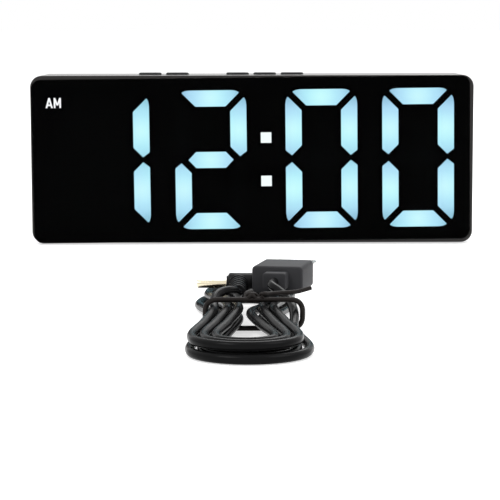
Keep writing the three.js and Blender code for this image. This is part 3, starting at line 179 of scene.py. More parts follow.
def joined(*parts):
    """Several surfaces as the points and faces of one mesh."""
    points, faces, start = [], [], 0
    for part_points, part_faces in parts:
        points.append(part_points)
        faces += [[corner + start for corner in face] for face in part_faces]
        start += len(part_points)
    return np.vstack(points), faces


def make(name, surface, body="clock", sharp=40):
    """A named piece from points in millimetres and faces, all facing out.

    Edges that bend by more than the sharp angle, in degrees, stay crisp.
    """
    points, faces = surface
    mesh = bpy.data.meshes.new(name)
    mesh.from_pydata((points * mm).tolist(), [], faces)
    shape = bmesh.new()
    shape.from_mesh(mesh)
    bmesh.ops.recalc_face_normals(shape, faces=shape.faces)
    for edge in shape.edges:
        edge.smooth = len(edge.link_faces) == 2 and edge.calc_face_angle() < math.radians(sharp)
    for face in shape.faces:
        face.smooth = True
    shape.to_mesh(mesh)
    shape.free()
    piece = bpy.data.objects.new(name, mesh)
    bpy.context.scene.collection.objects.link(piece)
    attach(piece, body)
    return piece


gloss_drift = 0.12


def moulded(name, colour, roughness, grain=0.0, grain_size=0.4, mottle=0.06, sheen_size=9, specular=0.5):
    """A moulded finish in object coordinates: slow changes of tone and gloss, and a finely pebbled surface.

    The colour is linear, the grain is the pebble's height in mm, and the sizes are in mm.
    """
    material = bpy.data.materials.new(name)
    material.use_nodes = True
    nodes, links = material.node_tree.nodes, material.node_tree.links
    shader = nodes["Principled BSDF"]
    shader.inputs["Specular IOR Level"].default_value = specular
    place = nodes.new("ShaderNodeTexCoord").outputs["Object"]
    slow = nodes.new("ShaderNodeTexNoise")
    slow.inputs["Scale"].default_value = 1 / (sheen_size * mm)
    slow.inputs["Detail"].default_value = 4
    links.new(place, slow.inputs["Vector"])
    tone = nodes.new("ShaderNodeMix")
    tone.data_type = "RGBA"
    tone.inputs["A"].default_value = (*[c * (1 - mottle) for c in colour], 1)
    tone.inputs["B"].default_value = (*[c * (1 + mottle) for c in colour], 1)
    links.new(slow.outputs["Fac"], tone.inputs["Factor"])
    links.new(tone.outputs["Result"], shader.inputs["Base Color"])
    gloss = nodes.new("ShaderNodeMapRange")
    gloss.inputs["To Min"].default_value = roughness * (1 - gloss_drift)
    gloss.inputs["To Max"].default_value = roughness * (1 + gloss_drift)
    links.new(slow.outputs["Fac"], gloss.inputs["Value"])
    links.new(gloss.outputs["Result"], shader.inputs["Roughness"])
    if grain:
        pebble = nodes.new("ShaderNodeTexNoise")
        pebble.inputs["Scale"].default_value = 1 / (grain_size * mm)
        pebble.inputs["Detail"].default_value = 2
        links.new(place, pebble.inputs["Vector"])
        bump = nodes.new("ShaderNodeBump")
        bump.inputs["Strength"].default_value = 1
        bump.inputs["Distance"].default_value = grain * mm
        links.new(pebble.outputs["Fac"], bump.inputs["Height"])
        links.new(bump.outputs["Normal"], shader.inputs["Normal"])
    return material


def dress(piece, material):
    """Gives a new piece its material."""
    piece.data.materials.clear()
    piece.data.materials.append(material)
    return piece


hank = hank_points()
hank = np.vstack([beyond(hank[0], hank[1], hank_lead), hank, beyond(hank[-1], hank[-2], hank_lead)])
usb_exit = np.array([7.3, 22.3, 10.3])
usb_turn = math.radians(-12.5)
usb_along = np.array([-math.sin(usb_turn), math.cos(usb_turn), 0])
plug_end = np.array([-2.6, 22.6, 7.4])
plug_along = np.array([0, 1, 0])
from_face, straight_end = 0.1, 2.8
usb_tail = [
    usb_exit - usb_along * from_face,
    usb_exit - usb_along * straight_end,
    [6.8, 15.4, 10.1],
    [9.1, 11, 8.9],
    [11.3, 6.5, 7.2],
    [12.2, 1, 5.6],
    [12.3, -5, 4],
    [12, -9.5, 2.9],
]
plug_tail = [
    [-9.5, -7, 5.8],
    [-8.95, 0, 6.2],
    [-9.1, 4, 7],
    [-8.7, 7.5, 8.2],
    [-7.2, 11, 9],
    [-5.1, 14, 9.1],
    [-3.5, 17, 8.5],
    plug_end - plug_along * straight_end,
    plug_end - plug_along * from_face,
]
route = smooth_line(np.vstack([usb_tail, hank, plug_tail]), per_span=8) + hank_middle
cord = make("power_cord", skin(tube_rings(route, cord_radius, sides=16)))
cord_pvc = moulded(
    "cord_pvc", (0.0075, 0.0075, 0.0078), 0.24, grain=0.008, grain_size=0.9, mottle=0.12, specular=0.045
)
dress(cord, cord_pvc)
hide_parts("cable_hank", "cable_tail_usb", "cable_tail_dc")


# USB plug. A grey soft-touch grip with a square strain block behind it, moulded round the end of a bright
# folded steel shell with two windows on each side. The grip is one rounded form, and the shell keeps its own.
block_length, block_width, block_height, block_corner, block_ease, into_grip = 4.2, 6.6, 4.8, 0.8, 0.4, 0.6
grip_length, grip_width, grip_height, grip_corner, grip_ease = 16.5, 14.5, 7.6, 1.2, 0.55
least_corner = 0.02


def rounded_outline(width, height, corner, steps=6):
    """Points of a rectangle with round corners, anticlockwise from the upper end of its right side.

    Each corner is a quarter circle in equal steps of angle.
    """
    turn = np.linspace(0, math.pi / 2, steps)
    start = np.arange(4)[:, None] * math.pi / 2
    cx = (width / 2 - corner) * np.array([1, -1, -1, 1])[:, None]
    cy = (height / 2 - corner) * np.array([1, 1, -1, -1])[:, None]
    x = cx + corner * np.cos(start + turn)
    y = cy + corner * np.sin(start + turn)
    return np.stack([x.ravel(), y.ravel()], axis=1)


def block_rings(width, height, corner, stations, steps=6):
    """Rings of a rounded block. A station is a place along it and how far the outline is drawn in there."""
    rings = []
    for along, inset in stations:
        round_by = max(corner - inset, least_corner)
        outline = rounded_outline(width - 2 * inset, height - 2 * inset, round_by, steps)
        rings.append(np.column_stack([outline[:, 0], np.full(len(outline), along), outline[:, 1]]))
    return np.array(rings)


def eased_stations(start, end, ease, last=True):
    """Stations of a block whose end edges are rounded by the ease, as quarter circles in four steps.

    The last end stays square where another form hides it.
    """
    turn = np.linspace(0, math.pi / 2, 5)
    from_end = ease * (1 - np.sin(turn))
    drawn_in = ease * (1 - np.cos(turn))
    near = list(zip(start + from_end[::-1], drawn_in[::-1]))
    far = list(zip(end - from_end, drawn_in)) if last else [(end, 0)]
    return near + far


def placed(points, origin, turn=0.0):
    """Points turned about the upright axis and moved to an origin, in mm."""
    c, s = math.cos(turn), math.sin(turn)
    return points @ np.array([[c, s, 0], [-s, c, 0], [0, 0, 1]]) + origin


def eased_copy(node, name, body="clock", width=0.0, chosen=None, sharp=35, flat=0.6, square=60):
    """A copy of a modelled node with its flat faces merged, and its curves smooth up to the sharp angle.

    Where chosen, edges that bend by more than the square angle are rounded to the width, in mm. Faces are
    merged where they bend by less than the flat angle. All angles are in degrees.
    """
    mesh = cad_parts[node].data.copy()
    mesh.name = name
    shape = bmesh.new()
    shape.from_mesh(mesh)
    bmesh.ops.remove_doubles(shape, verts=shape.verts, dist=0.002 * mm)
    bmesh.ops.dissolve_limit(shape, angle_limit=math.radians(flat), verts=shape.verts, edges=shape.edges)
    weight = shape.edges.layers.float.new("bevel_weight_edge")
    for edge in shape.edges:
        bent = edge.calc_face_angle(0) if len(edge.link_faces) == 2 else 0
        edge.smooth = bent < math.radians(sharp)
        middle = (edge.verts[0].co + edge.verts[1].co) / 2
        edge[weight] = 1.0 if width and bent > math.radians(square) and chosen(middle / mm) else 0.0
    for face in shape.faces:
        face.smooth = True
    shape.to_mesh(mesh)
    shape.free()
    piece = bpy.data.objects.new(name, mesh)
    bpy.context.scene.collection.objects.link(piece)
    if width:
        bevel = piece.modifiers.new("eased", "BEVEL")
        bevel.limit_method = "WEIGHT"
        bevel.width = width * mm
        bevel.segments = 3
        bevel.harden_normals = True
    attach(piece, body)
    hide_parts(node)
    return piece


def metal(name, colour, roughness, brushed=0.0, size=0.15, slender=0.06):
    """A bare metal with slow stains and fine scratches that run one way.

    The brushed depth and the size across a scratch are in mm, and slender is its width over its length.
    """
    material = moulded(name, colour, roughness, mottle=0.05, sheen_size=3)
    nodes, links = material.node_tree.nodes, material.node_tree.links
    shader = nodes["Principled BSDF"]
    shader.inputs["Metallic"].default_value = 1
    if brushed:
        stretch = nodes.new("ShaderNodeMapping")
        stretch.inputs["Scale"].default_value = (1, slender, 1)
        links.new(nodes["Texture Coordinate"].outputs["Object"], stretch.inputs["Vector"])
        hair = nodes.new("ShaderNodeTexNoise")
        hair.inputs["Scale"].default_value = 1 / (size * mm)
        links.new(stretch.outputs["Vector"], hair.inputs["Vector"])
        bump = nodes.new("ShaderNodeBump")
        bump.inputs["Distance"].default_value = brushed * mm
        links.new(hair.outputs["Fac"], bump.inputs["Height"])
        links.new(bump.outputs["Normal"], shader.inputs["Normal"])
    return material


usb_origin = hank_middle + usb_exit
strain_stations = eased_stations(0, block_length + into_grip, block_ease, last=False)
strain_block = block_rings(block_width, block_height, block_corner, strain_stations)
grip_stations = eased_stations(block_length, block_length + grip_length, grip_ease)
grip = block_rings(grip_width, grip_height, grip_corner, grip_stations)
usb_grip = make(
    "usb_grip",
    joined(*[skin(placed(rings, usb_origin, usb_turn)) for rings in (strain_block, grip)]),
)
grip_rubber = moulded("grip_rubber", (0.038, 0.038, 0.041), 0.6, grain=0.012, grain_size=0.35, specular=0.15)
dress(usb_grip, grip_rubber)
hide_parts("usb_plug_body")
usb_shell = eased_copy("usb_plug_shell", "usb_shell")
dress(usb_shell, metal("plug_steel", (0.78, 0.77, 0.75), 0.24, brushed=0.004))
tongue_white = moulded("tongue_white", (0.82, 0.82, 0.8), 0.4)
usb_tongue = dress(eased_copy("usb_plug_tongue", "usb_tongue"), tongue_white)


# Round plug. A right-angle moulding in black PVC with a ribbed strain relief, and a thin nickel-plated
# barrel that points to the left. Relief, body and barrel are turned forms.
relief_length, relief_ribs, relief_start, relief_end = 14, 5, 2, 2.9
relief_groove, rib_ease, groove_wall = 0.7, 0.2, 0.05
to_body_line, left_end = 3.1, -3.0
barrel_root, barrel_length, barrel_radius, barrel_bore = -3.55, 8.4, 1.18, 0.55


def turned_rings(profile, sides=32):
    """Rings of a turned form about the Y axis, from a profile of places along it and radii."""
    profile = np.asarray(profile, float)
    turn = np.linspace(0, 2 * math.pi, sides, endpoint=False)
    x = profile[:, 1:2] * np.cos(turn)
    z = profile[:, 1:2] * np.sin(turn)
    y = np.broadcast_to(profile[:, :1], x.shape)
    return np.stack([x, y, z], axis=-1)


def along_x(rings, middle_y=0):
    """Rings turned about Y, laid along X instead, with their middle line at a place in y."""
    return np.stack([rings[..., 1], middle_y + rings[..., 0], rings[..., 2]], axis=-1)


rib = relief_length / (2 * relief_ribs)
relief = [(0, 1.5)]
for k in range(relief_ribs):
    near, far, next_near = [(2 * k + n) * rib for n in range(3)]
    wide, next_wide = [relief_start + (relief_end - relief_start) * n / relief_ribs for n in (k, k + 1)]
    relief += [(near, wide - rib_ease), (near + rib_ease, wide)]
    relief += [(far - rib_ease, wide), (far, wide - rib_ease)]
    relief += [(far + groove_wall, wide - relief_groove)]
    relief += [(next_near - groove_wall, next_wide - relief_groove)]
relief += [(relief_length, relief_end), (relief_length + rib, 2.85)]
body = np.array([(0, 2.6), (0.25, 3), (0.6, 3.2), (7, 3.2), (7.4, 3), (7.6, 2.5)]) + (left_end, 0)
collar = np.array([(-0.5, 2.2), (-0.4, 2.4), (0.3, 2.4)]) + (left_end, 0)
plug_origin = hank_middle + plug_end
body_line = relief_length + to_body_line
round_plug = make(
    "round_plug",
    joined(
        skin(turned_rings(relief) + plug_origin),
        skin(along_x(turned_rings(body), body_line) + plug_origin),
        skin(along_x(turned_rings(collar), body_line) + plug_origin),
    ),
)
plug_pvc = moulded("plug_pvc", (0.006, 0.006, 0.0065), 0.4, grain=0.01, mottle=0.1, specular=0.12)
dress(round_plug, plug_pvc)
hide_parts("dc_plug_body")
tip = barrel_root - barrel_length
barrel = [
    (barrel_root - barrel_length / 2, barrel_bore),
    (tip, barrel_bore),
    (tip, barrel_radius - 0.16),
    (tip + 0.12, barrel_radius - 0.04),
    (tip + 0.3, barrel_radius),
    (barrel_root, barrel_radius),
]
plug_barrel = make(
    "plug_barrel",
    skin(along_x(turned_rings(barrel), body_line) + plug_origin),
)
dress(plug_barrel, metal("barrel_nickel", (0.78, 0.7, 0.52), 0.2))
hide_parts("dc_plug_barrel")


# Twist tie. A wire in a dark brown-black PVC coat, laid once round the waist of the hank and closed by
# twisting its ends round each other. One end is left long. Each length is a tube along its own line.
tie_left, tie_right, tie_top, tie_corner, tie_wave = -11.3, 14.6, 8.6, 3, 0.5
tie_radius, strand_radius, ring_step = 0.7, 0.6, 0.6
knot_length, knot_spread = 4.4, 0.62
tie_bottom = rest_height + tie_radius
turn = np.linspace(0, math.pi / 2, 9)
corners = [
    (tie_right - tie_corner, tie_top - tie_corner, 0),
    (tie_left + tie_corner, tie_top - tie_corner, 1),
    (tie_left + tie_corner, tie_bottom + tie_corner, 2),
    (tie_right - tie_corner, tie_bottom + tie_corner, 3),
]
ring_corners = np.vstack(
    [
        np.column_stack(
            [
                x + tie_corner * np.cos(turn + quarter * math.pi / 2),
                tie_wave * np.sin(3 * (turn + quarter * math.pi / 2)),
                z + tie_corner * np.sin(turn + quarter * math.pi / 2),
            ]
        )
        for x, z, quarter in corners
    ]
)
knot = np.array([2, 0, 9.4])
twist = np.linspace(0, 2.5 * math.pi, 13)


def evenly(points, gap):
    """The closed line through the points, with new points an even gap apart along it."""
    ring = np.vstack([points, points[:1]])
    run = np.concatenate([[0], np.cumsum(np.linalg.norm(np.diff(ring, axis=0), axis=1))])
    places = np.linspace(0, run[-1], round(run[-1] / gap), endpoint=False)
    return np.stack([np.interp(places, run, ring[:, axis]) for axis in range(3)], axis=1)


def twisted(phase, towards, end_points):
    """A strand that winds round the knot's middle line, towards one side, and leaves along its own points."""
    run = towards * knot_length * (twist / twist[-1] - 0.5)
    spiral = np.column_stack([run, knot_spread * np.cos(twist + phase), knot_spread * np.sin(twist + phase)])
    return smooth_line(np.vstack([spiral + knot, end_points]), per_span=4)


long_end = twisted(0, 1, [[5.6, 1.4, 9.9], [9, 3, 9.9], [13, 4.4, 10], [17, 6.4, 10.75]])
short_end = twisted(math.pi, -1, [[-0.3, 2.2, 9.9], [0.9, 4.6, 10], [1, 7, 9.9], [0.6, 10, 9.4]])
ring_rings = tube_rings(evenly(ring_corners, ring_step), tie_radius, sides=12, axis=(0, 1, 0))
tie = make(
    "twist_tie",
    joined(
        skin(ring_rings + hank_middle, looped=True),
        *[skin(tube_rings(line, strand_radius, sides=12) + hank_middle) for line in (long_end, short_end)],
    ),
)
tie_pvc = moulded(
    "tie_pvc", (0.014, 0.0115, 0.0105), 0.5, grain=0.02, grain_size=0.5, mottle=0.15, specular=0.12
)
dress(tie, tie_pvc)
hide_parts("cable_tie")


# Case. Two shells of dark warm grey ABS with a fine spark texture, meeting at a parting line. They are the
# modelled shells with the outer edges of each half slightly rounded.
case_grey = moulded(
    "case_grey", (0.024, 0.0215, 0.02), 0.22, grain=0.002, grain_size=0.35, mottle=0.05, specular=0.25
)
front_plane = -14.375
parting, back_plane = front_plane + 22, front_plane + 31
case_half, case_low, case_high, rim_band = 82.5, 0.4, 62.9, 1.4


def on_rim(places, tolerance=0.03):
    """A test for the middles of edges that lie on the outside of the case, in one of some planes of depth."""
    def test(middle):
        outside = max(abs(middle.x) - case_half, case_low - middle.z, middle.z - case_high)
        return outside > -rim_band and any(abs(middle.y - place) < tolerance for place in places)

    return test


front_shell = eased_copy("front_case", "front_shell", width=0.35, chosen=on_rim([front_plane, parting]))
dress(front_shell, case_grey)
rear_shell = eased_copy("rear_cover", "rear_shell", width=0.6, chosen=on_rim([parting + 0.05, back_plane]))
dress(rear_shell, case_grey)


# Battery door. A thin plate of the same grey plastic in the back cover. It turns on a round bead along its
# lower edge, and a springy tongue between two slits snaps it shut at the top.
door = eased_copy("battery_door", "door", body="battery_door")
dress(door, case_grey)


# Front panel. A smoked acrylic sheet 1.5 mm thick, glossy black from outside, through which only lit
# segments show. It is one rounded sheet, turned half a degree in the case as in the photograph.
display_turn = math.radians(0.55)
display_shift, case_middle = -0.3, 31.65
panel_width, panel_height, panel_corner, panel_thickness, panel_ease = 163, 61, 3.5, 1.5, 0.3
panel_back = -0.75
panel_through = 0.35


def on_display(points):
    """Points on the display as places in the shared frame, turned by the display's small turn.

    Their x and z count from the display's middle, and their y from the case's front plane.
    """
    c, s = math.cos(display_turn), math.sin(display_turn)
    x, y, z = points[..., 0], points[..., 1], points[..., 2]
    return np.stack([c * x - s * z + display_shift, y + front_plane, s * x + c * z + case_middle], axis=-1)


panel_stations = eased_stations(panel_back - panel_thickness, panel_back, panel_ease, last=False)
panel_rings = block_rings(panel_width, panel_height, panel_corner, panel_stations, steps=10)
panel = make("smoked_panel", skin(on_display(panel_rings)), sharp=30)
smoked = moulded("smoked_acrylic", (0.0005, 0.0005, 0.0006), 0.03, mottle=0.3, sheen_size=40, specular=0.01)
smoked.node_tree.nodes["Principled BSDF"].inputs["Alpha"].default_value = 1 - panel_through
dress(panel, smoked)
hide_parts("front_lens")


# Display light. Each lit segment is a milky diffuser with one white LED behind its middle, so it is
# brightest there and bluer towards its tips. A segment is a strip between two edges. Each point of it keeps
# its light as an attribute. Segments that aren't lit are grey inserts.
digit_width, digit_height, segment_width, digit_corner, mitre_gap = 26.75, 51.8, 6.05, 5.5, 2.45
outer_slant, bar_tip, bar_shoulder = 1.9, 4.95, 7.85
right_inset, right_gap, right_rise = 2.5, 0.9, 0.35
left_inset, left_gap, left_rise = 2.35, 1.25, 0.1
digit_places = {"hour_tens": -51.175, "hour_units": -14.975, "minute_tens": 26.275, "minute_units": 62.275}
lit_segments = {"hour_tens": "bc", "hour_units": "abged", "minute_tens": "abcdef", "minute_units": "abcdef"}
unlit_segments = {
    "hour_units_segment_c": ("hour_units", "c"),
    "hour_units_segment_f": ("hour_units", "f"),
    "minute_tens_segment_g": ("minute_tens", "g"),
    "minute_units_segment_g": ("minute_units", "g"),
}
diffuser_front, diffuser_back = -0.25, 1.75
hidden_edge = 0.2
lamp_inward, lamp_peak, lamp_reach = 0.9, 1.02, 11.7
hue_drift, drift_size, noise_low, noise_high = 0.012, 15, 0.3, 0.7


def flipped(edges, side, level):
    """Both edges of a segment, mirrored sideways where side is -1 and top to bottom where level is -1."""
    return tuple([(side * a, level * b) for a, b in edge] for edge in edges)


def segment_edges():
    """The two long edges of each segment, as lines of points from one tip to the other.

    A digit is a frame whose outer corners are quarter circles, cut by gaps at 45 degrees through its corners.
    Upright segments end at the middle in a point with a short outer slant and a long inner one, and the
    points stand further apart on the left. All edges reach a little further than the mask's windows.
    """
    x, z = digit_width / 2 + hidden_edge, digit_height / 2 + hidden_edge
    thick = segment_width + 2 * hidden_edge
    radius, half_gap = digit_corner + hidden_edge, mitre_gap / 2 - hidden_edge
    cut = half_gap * math.sqrt(2)
    spread = math.asin(half_gap / radius)

    def bend(start, end):
        turn = np.linspace(start, end, 6)
        return list(zip(x - radius + radius * np.cos(turn), z - radius + radius * np.sin(turn)))

    def upright(tip_inset, tip_height):
        tip_x, inner_x = x - hidden_edge - tip_inset, x - thick
        tip_z = tip_height - hidden_edge
        outer = bend(math.pi / 4 - spread, 0) + [(x, tip_z + outer_slant), (tip_x, tip_z)]
        return outer, [(inner_x, z - thick - cut), (inner_x, tip_z + tip_x - inner_x)]

    corner = bend(math.pi / 4 + spread, math.pi / 2)
    top_reach = x - thick - cut
    top = (
        [(-a, b) for a, b in corner] + corner[::-1],
        [(-top_reach, z - thick), (top_reach, z - thick)],
    )
    tips, shoulders = x - bar_tip, x - bar_shoulder
    bar = tuple(
        [(-tips, 0), (-shoulders, half), (shoulders, half), (tips, 0)] for half in (thick / 2, -thick / 2)
    )
    return {
        "a": top,
        "b": upright(right_inset, right_gap + right_rise),
        "c": flipped(upright(right_inset, right_gap - right_rise), 1, -1),
        "d": flipped(top, 1, -1),
        "e": flipped(upright(left_inset, left_gap - left_rise), -1, -1),
        "f": flipped(upright(left_inset, left_gap + left_rise), -1, 1),
        "g": bar,
    }


def along_edge(edge):
    """How far along an edge each of its points is, from 0 to 1."""
    run = np.concatenate([[0], np.cumsum(np.linalg.norm(np.diff(edge, axis=0), axis=1))])
    return run / run[-1]


def strip(edges, at, front=diffuser_front, back=diffuser_back, long_steps=24, cross_steps=6):
    """A closed slab between two edge lines, with the light at each of its points.

    The face is a straight blend between the edges, with points at all of their corners, and the back is the
    same face set behind it. The light is 1 over its LED and falls evenly with the distance from it. The LED
    sits a tenth of the way from the segment's middle towards the digit's.
    """
    edges = [np.array(edge, float) for edge in edges]
    corners = [along_edge(edge) for edge in edges]
    u = np.unique(np.concatenate([np.linspace(0, 1, long_steps + 1), *corners]).round(6))
    lines = [
        np.stack([np.interp(u, run, edge[:, axis]) for axis in (0, 1)], axis=1)
        for run, edge in zip(corners, edges)
    ]
    v = np.linspace(0, 1, cross_steps + 1)[None, :, None]
    face = lines[0][:, None] * (1 - v) + lines[1][:, None] * v
    low, high = face.min((0, 1)), face.max((0, 1))
    longest = np.argmax(high - low)
    lamp = (low + high) / 2
    lamp[longest] *= lamp_inward
    light = np.clip(lamp_peak - np.linalg.norm(face - lamp, axis=-1) / lamp_reach, 0, 1).ravel()
    flat = np.column_stack([face[..., 0].ravel() + at, np.full(light.size, front), face[..., 1].ravel()])
    behind = flat + [0, back - front, 0]
    index = np.arange(len(flat)).reshape(face.shape[:2])
    quads = np.stack([index[:-1, :-1], index[1:, :-1], index[1:, 1:], index[:-1, 1:]], axis=-1).reshape(-1, 4)
    rim = np.concatenate([index[:, 0], index[-1, 1:], index[-2::-1, -1], index[0, -2:0:-1]])
    sides = np.stack([rim, np.roll(rim, -1), np.roll(rim, -1) + len(flat), rim + len(flat)], axis=-1)
    faces = quads.tolist() + (quads[:, ::-1] + len(flat)).tolist() + sides.tolist()
    return (np.vstack([flat, behind]), faces), np.tile(light, 2)


def lit(name, colours):
    """A glowing diffuser. Its light attribute picks a colour between place 0, a tip, and 1, the middle.

    Its strength makes up for what the smoked panel's two faces hold back. The hue drifts a little either way
    over some 15 mm, as it does from one LED to the next.
    """
    material = bpy.data.materials.new(name)
    material.use_nodes = True
    nodes, links = material.node_tree.nodes, material.node_tree.links
    shader = nodes["Principled BSDF"]
    shader.inputs["Base Color"].default_value = (0.3, 0.31, 0.31, 1)
    shader.inputs["Roughness"].default_value = 0.5
    shader.inputs["Emission Strength"].default_value = 1 / panel_through**2
    light = nodes.new("ShaderNodeAttribute")
    light.attribute_name = "light"
    blend = nodes.new("ShaderNodeValToRGB")
    blend.color_ramp.interpolation = "CARDINAL"
    stops = blend.color_ramp.elements
    stops.remove(stops[1])
    for place, colour in colours:
        stop = stops[0] if place == 0 else stops.new(place)
        stop.color = (*colour, 1)
    links.new(light.outputs["Fac"], blend.inputs["Fac"])
    slow = nodes.new("ShaderNodeTexNoise")
    slow.inputs["Scale"].default_value = 1 / (drift_size * mm)
    slow.inputs["Detail"].default_value = 0
    links.new(nodes.new("ShaderNodeTexCoord").outputs["Object"], slow.inputs["Vector"])
    drift = nodes.new("ShaderNodeMapRange")
    drift.inputs["From Min"].default_value = noise_low
    drift.inputs["From Max"].default_value = noise_high
    drift.inputs["To Min"].default_value = 0.5 - hue_drift
    drift.inputs["To Max"].default_value = 0.5 + hue_drift
    links.new(slow.outputs["Fac"], drift.inputs["Value"])
    tint = nodes.new("ShaderNodeHueSaturation")
    links.new(drift.outputs["Result"], tint.inputs["Hue"])
    links.new(blend.outputs["Color"], tint.inputs["Color"])
    links.new(tint.outputs["Color"], shader.inputs["Emission Color"])
    return material


def give_light(piece, light):
    """Writes the light of each point into the piece's attribute."""
    attribute = piece.data.attributes.new("light", "FLOAT", "POINT")
    attribute.data.foreach_set("value", np.asarray(light, np.float32))


cyan_lit = lit(
    "segment_lit",
    [
        (0, (0.27, 0.53, 0.67)),
        (0.3, (0.39, 0.71, 0.87)),
        (0.6, (0.475, 0.84, 0.965)),
        (1, (0.58, 0.955, 0.99)),
    ],
)
edges = segment_edges()
for digit, letters in lit_segments.items():
    strips = [strip(edges[letter], digit_places[digit]) for letter in letters]
    points, faces = joined(*[surface for surface, _ in strips])
    piece = make(f"{digit}_light", (on_display(points), faces))
    give_light(piece, np.concatenate([light for _, light in strips]))
    dress(piece, cyan_lit)
    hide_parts(f"{digit}_diffuser")
unlit_grey = moulded("segment_unlit", (0.02, 0.022, 0.024), 0.5)
for node, (digit, letter) in unlit_segments.items():
    (points, faces), _ = strip(edges[letter], digit_places[digit])
    piece = dress(make(f"{node}_insert", (on_display(points), faces)), unlit_grey)
    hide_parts(node)


# Colon. Two small square diffusers of the same milky plastic, one above the other. Each has an LED close
# behind it, so they are brighter and whiter than the digits.
colon_place, colon_half, colon_rise = 5.625, 2.175, 8.1
dots = []
for middle_z in (colon_rise, -colon_rise):
    dot_edges = [
        [(-colon_half, z), (colon_half, z)] for z in (middle_z + colon_half, middle_z - colon_half)
    ]
    dots.append(strip(dot_edges, colon_place))
points, faces = joined(*[surface for surface, _ in dots])
colon = make("colon_light", (on_display(points), faces))
give_light(colon, np.concatenate([light for _, light in dots]))
dress(colon, lit("colon_lit", [(0, (0.85, 0.98, 1.0)), (1, (0.92, 1.0, 1.0))]))
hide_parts("colon_diffuser")


# Morning mark. The letters A and M stand on one small plate. Their faces are lit white and the plate behind
# is printed black, told apart by depth.
face_plane = front_plane + diffuser_front
letter_face, letter_edge = face_plane + 0.02, face_plane + 0.1
am_light = bpy.data.materials.new("mark_lit")
am_light.use_nodes = True
nodes, links = am_light.node_tree.nodes, am_light.node_tree.links
am_shader = nodes["Principled BSDF"]
am_shader.inputs["Roughness"].default_value = 0.6
am_shader.inputs["Emission Strength"].default_value = 1 / panel_through**2
depth = nodes.new("ShaderNodeSeparateXYZ")
links.new(nodes.new("ShaderNodeTexCoord").outputs["Object"], depth.inputs["Vector"])
in_front = nodes.new("ShaderNodeMapRange")
in_front.inputs["From Min"].default_value = letter_edge * mm
in_front.inputs["From Max"].default_value = letter_face * mm
links.new(depth.outputs["Y"], in_front.inputs["Value"])
mark = nodes.new("ShaderNodeMix")
mark.data_type = "RGBA"
mark.inputs["A"].default_value = (0, 0, 0, 1)
mark.inputs["B"].default_value = (0.97, 0.98, 1, 1)
links.new(in_front.outputs["Result"], mark.inputs["Factor"])
links.new(mark.outputs["Result"], am_shader.inputs["Emission Color"])
ink = nodes.new("ShaderNodeMix")
ink.data_type = "RGBA"
ink.inputs["A"].default_value = (0.01, 0.01, 0.01, 1)
ink.inputs["B"].default_value = (0.7, 0.7, 0.7, 1)
links.new(in_front.outputs["Result"], ink.inputs["Factor"])
links.new(ink.outputs["Result"], am_shader.inputs["Base Color"])


def refinish(node, material):
    """Gives a modelled node that stays in place a material of its own."""
    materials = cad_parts[node].data.materials
    materials.clear()
    materials.append(material)


refinish("am_diffuser", am_light)


# Keys. Five small caps in black ABS, pill-shaped with a soft edge, each in its own hole in the top and
# pressed by half a millimetre. Each cap is one rounded form with a flange below that holds it in.
key_places = {"alarm": -38.5, "snooze": -28.2, "set": -5.4, "up": 4.9, "down": 15.2}
key_depth = 0.575
flange_low, flange_high, key_top = 60.2, 61, 63.7
flange_size, cap_size = (9.8, 5.4, 2.69), (8.6, 4.2, 2.09)
flange_stations = [(flange_low, 0.1), (flange_low + 0.1, 0), (flange_high, 0)]
cap_stations = [(flange_high, 0), (key_top - 0.45, 0), (key_top - 0.22, 0.08), (key_top - 0.08, 0.25)]
cap_stations += [(key_top, 0.6)]
key_black = moulded(
    "key_black", (0.01, 0.01, 0.011), 0.42, grain=0.006, grain_size=0.3, mottle=0.08, specular=0.3
)
key_rings = np.vstack(
    [block_rings(*flange_size, flange_stations, steps=10), block_rings(*cap_size, cap_stations, steps=10)]
)
for key, x in key_places.items():
    cap = np.stack([key_rings[..., 0] + x, key_rings[..., 2] + key_depth, key_rings[..., 1]], axis=-1)
    piece = dress(make(f"{key}_cap", skin(cap), body=f"{key}_key"), key_black)
    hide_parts(f"{key}_button")


# Feet. Four soft black rubber discs under the case, with a rounded lower edge. Each is pressed into a round
# pocket near a corner and stands a little proud.
foot_rubber = moulded("foot_rubber", (0.012, 0.012, 0.013), 0.8, grain=0.02, grain_size=0.25)
foot_profile = [(1.15, 3.48), (0.3, 3.48), (0.12, 3.42), (0.02, 3.25), (0, 3.0)]
foot_rings = turned_rings(foot_profile)
for end, y in (("front", -6.375), ("rear", 12.125)):
    for side, x in (("left", -66), ("right", 66)):
        disc = np.stack([foot_rings[..., 0] + x, foot_rings[..., 2] + y, foot_rings[..., 1]], axis=-1)
        piece = dress(make(f"{end}_{side}_pad", skin(disc)), foot_rubber)
        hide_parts(f"foot_{end}_{side}")


# Fasteners and contacts. Zinc-plated screws with a cross slot at the bottom of deep bores, and nickel-plated
# spring steel contacts in the battery bay. They keep their modelled forms.
screw_zinc = metal("screw_zinc", (0.55, 0.55, 0.54), 0.32)
for corner in ("top_left", "top_right", "bottom_left", "bottom_right"):
    dress(eased_copy(f"case_screw_{corner}", f"screw_{corner}"), screw_zinc)
contact_nickel = metal("contact_nickel", (0.66, 0.65, 0.62), 0.28, brushed=0.003)
for name in ("contact_negative", "contact_positive", "contact_bridge_left", "contact_bridge_right"):
    dress(eased_copy(name, f"{name}_strip"), contact_nickel)


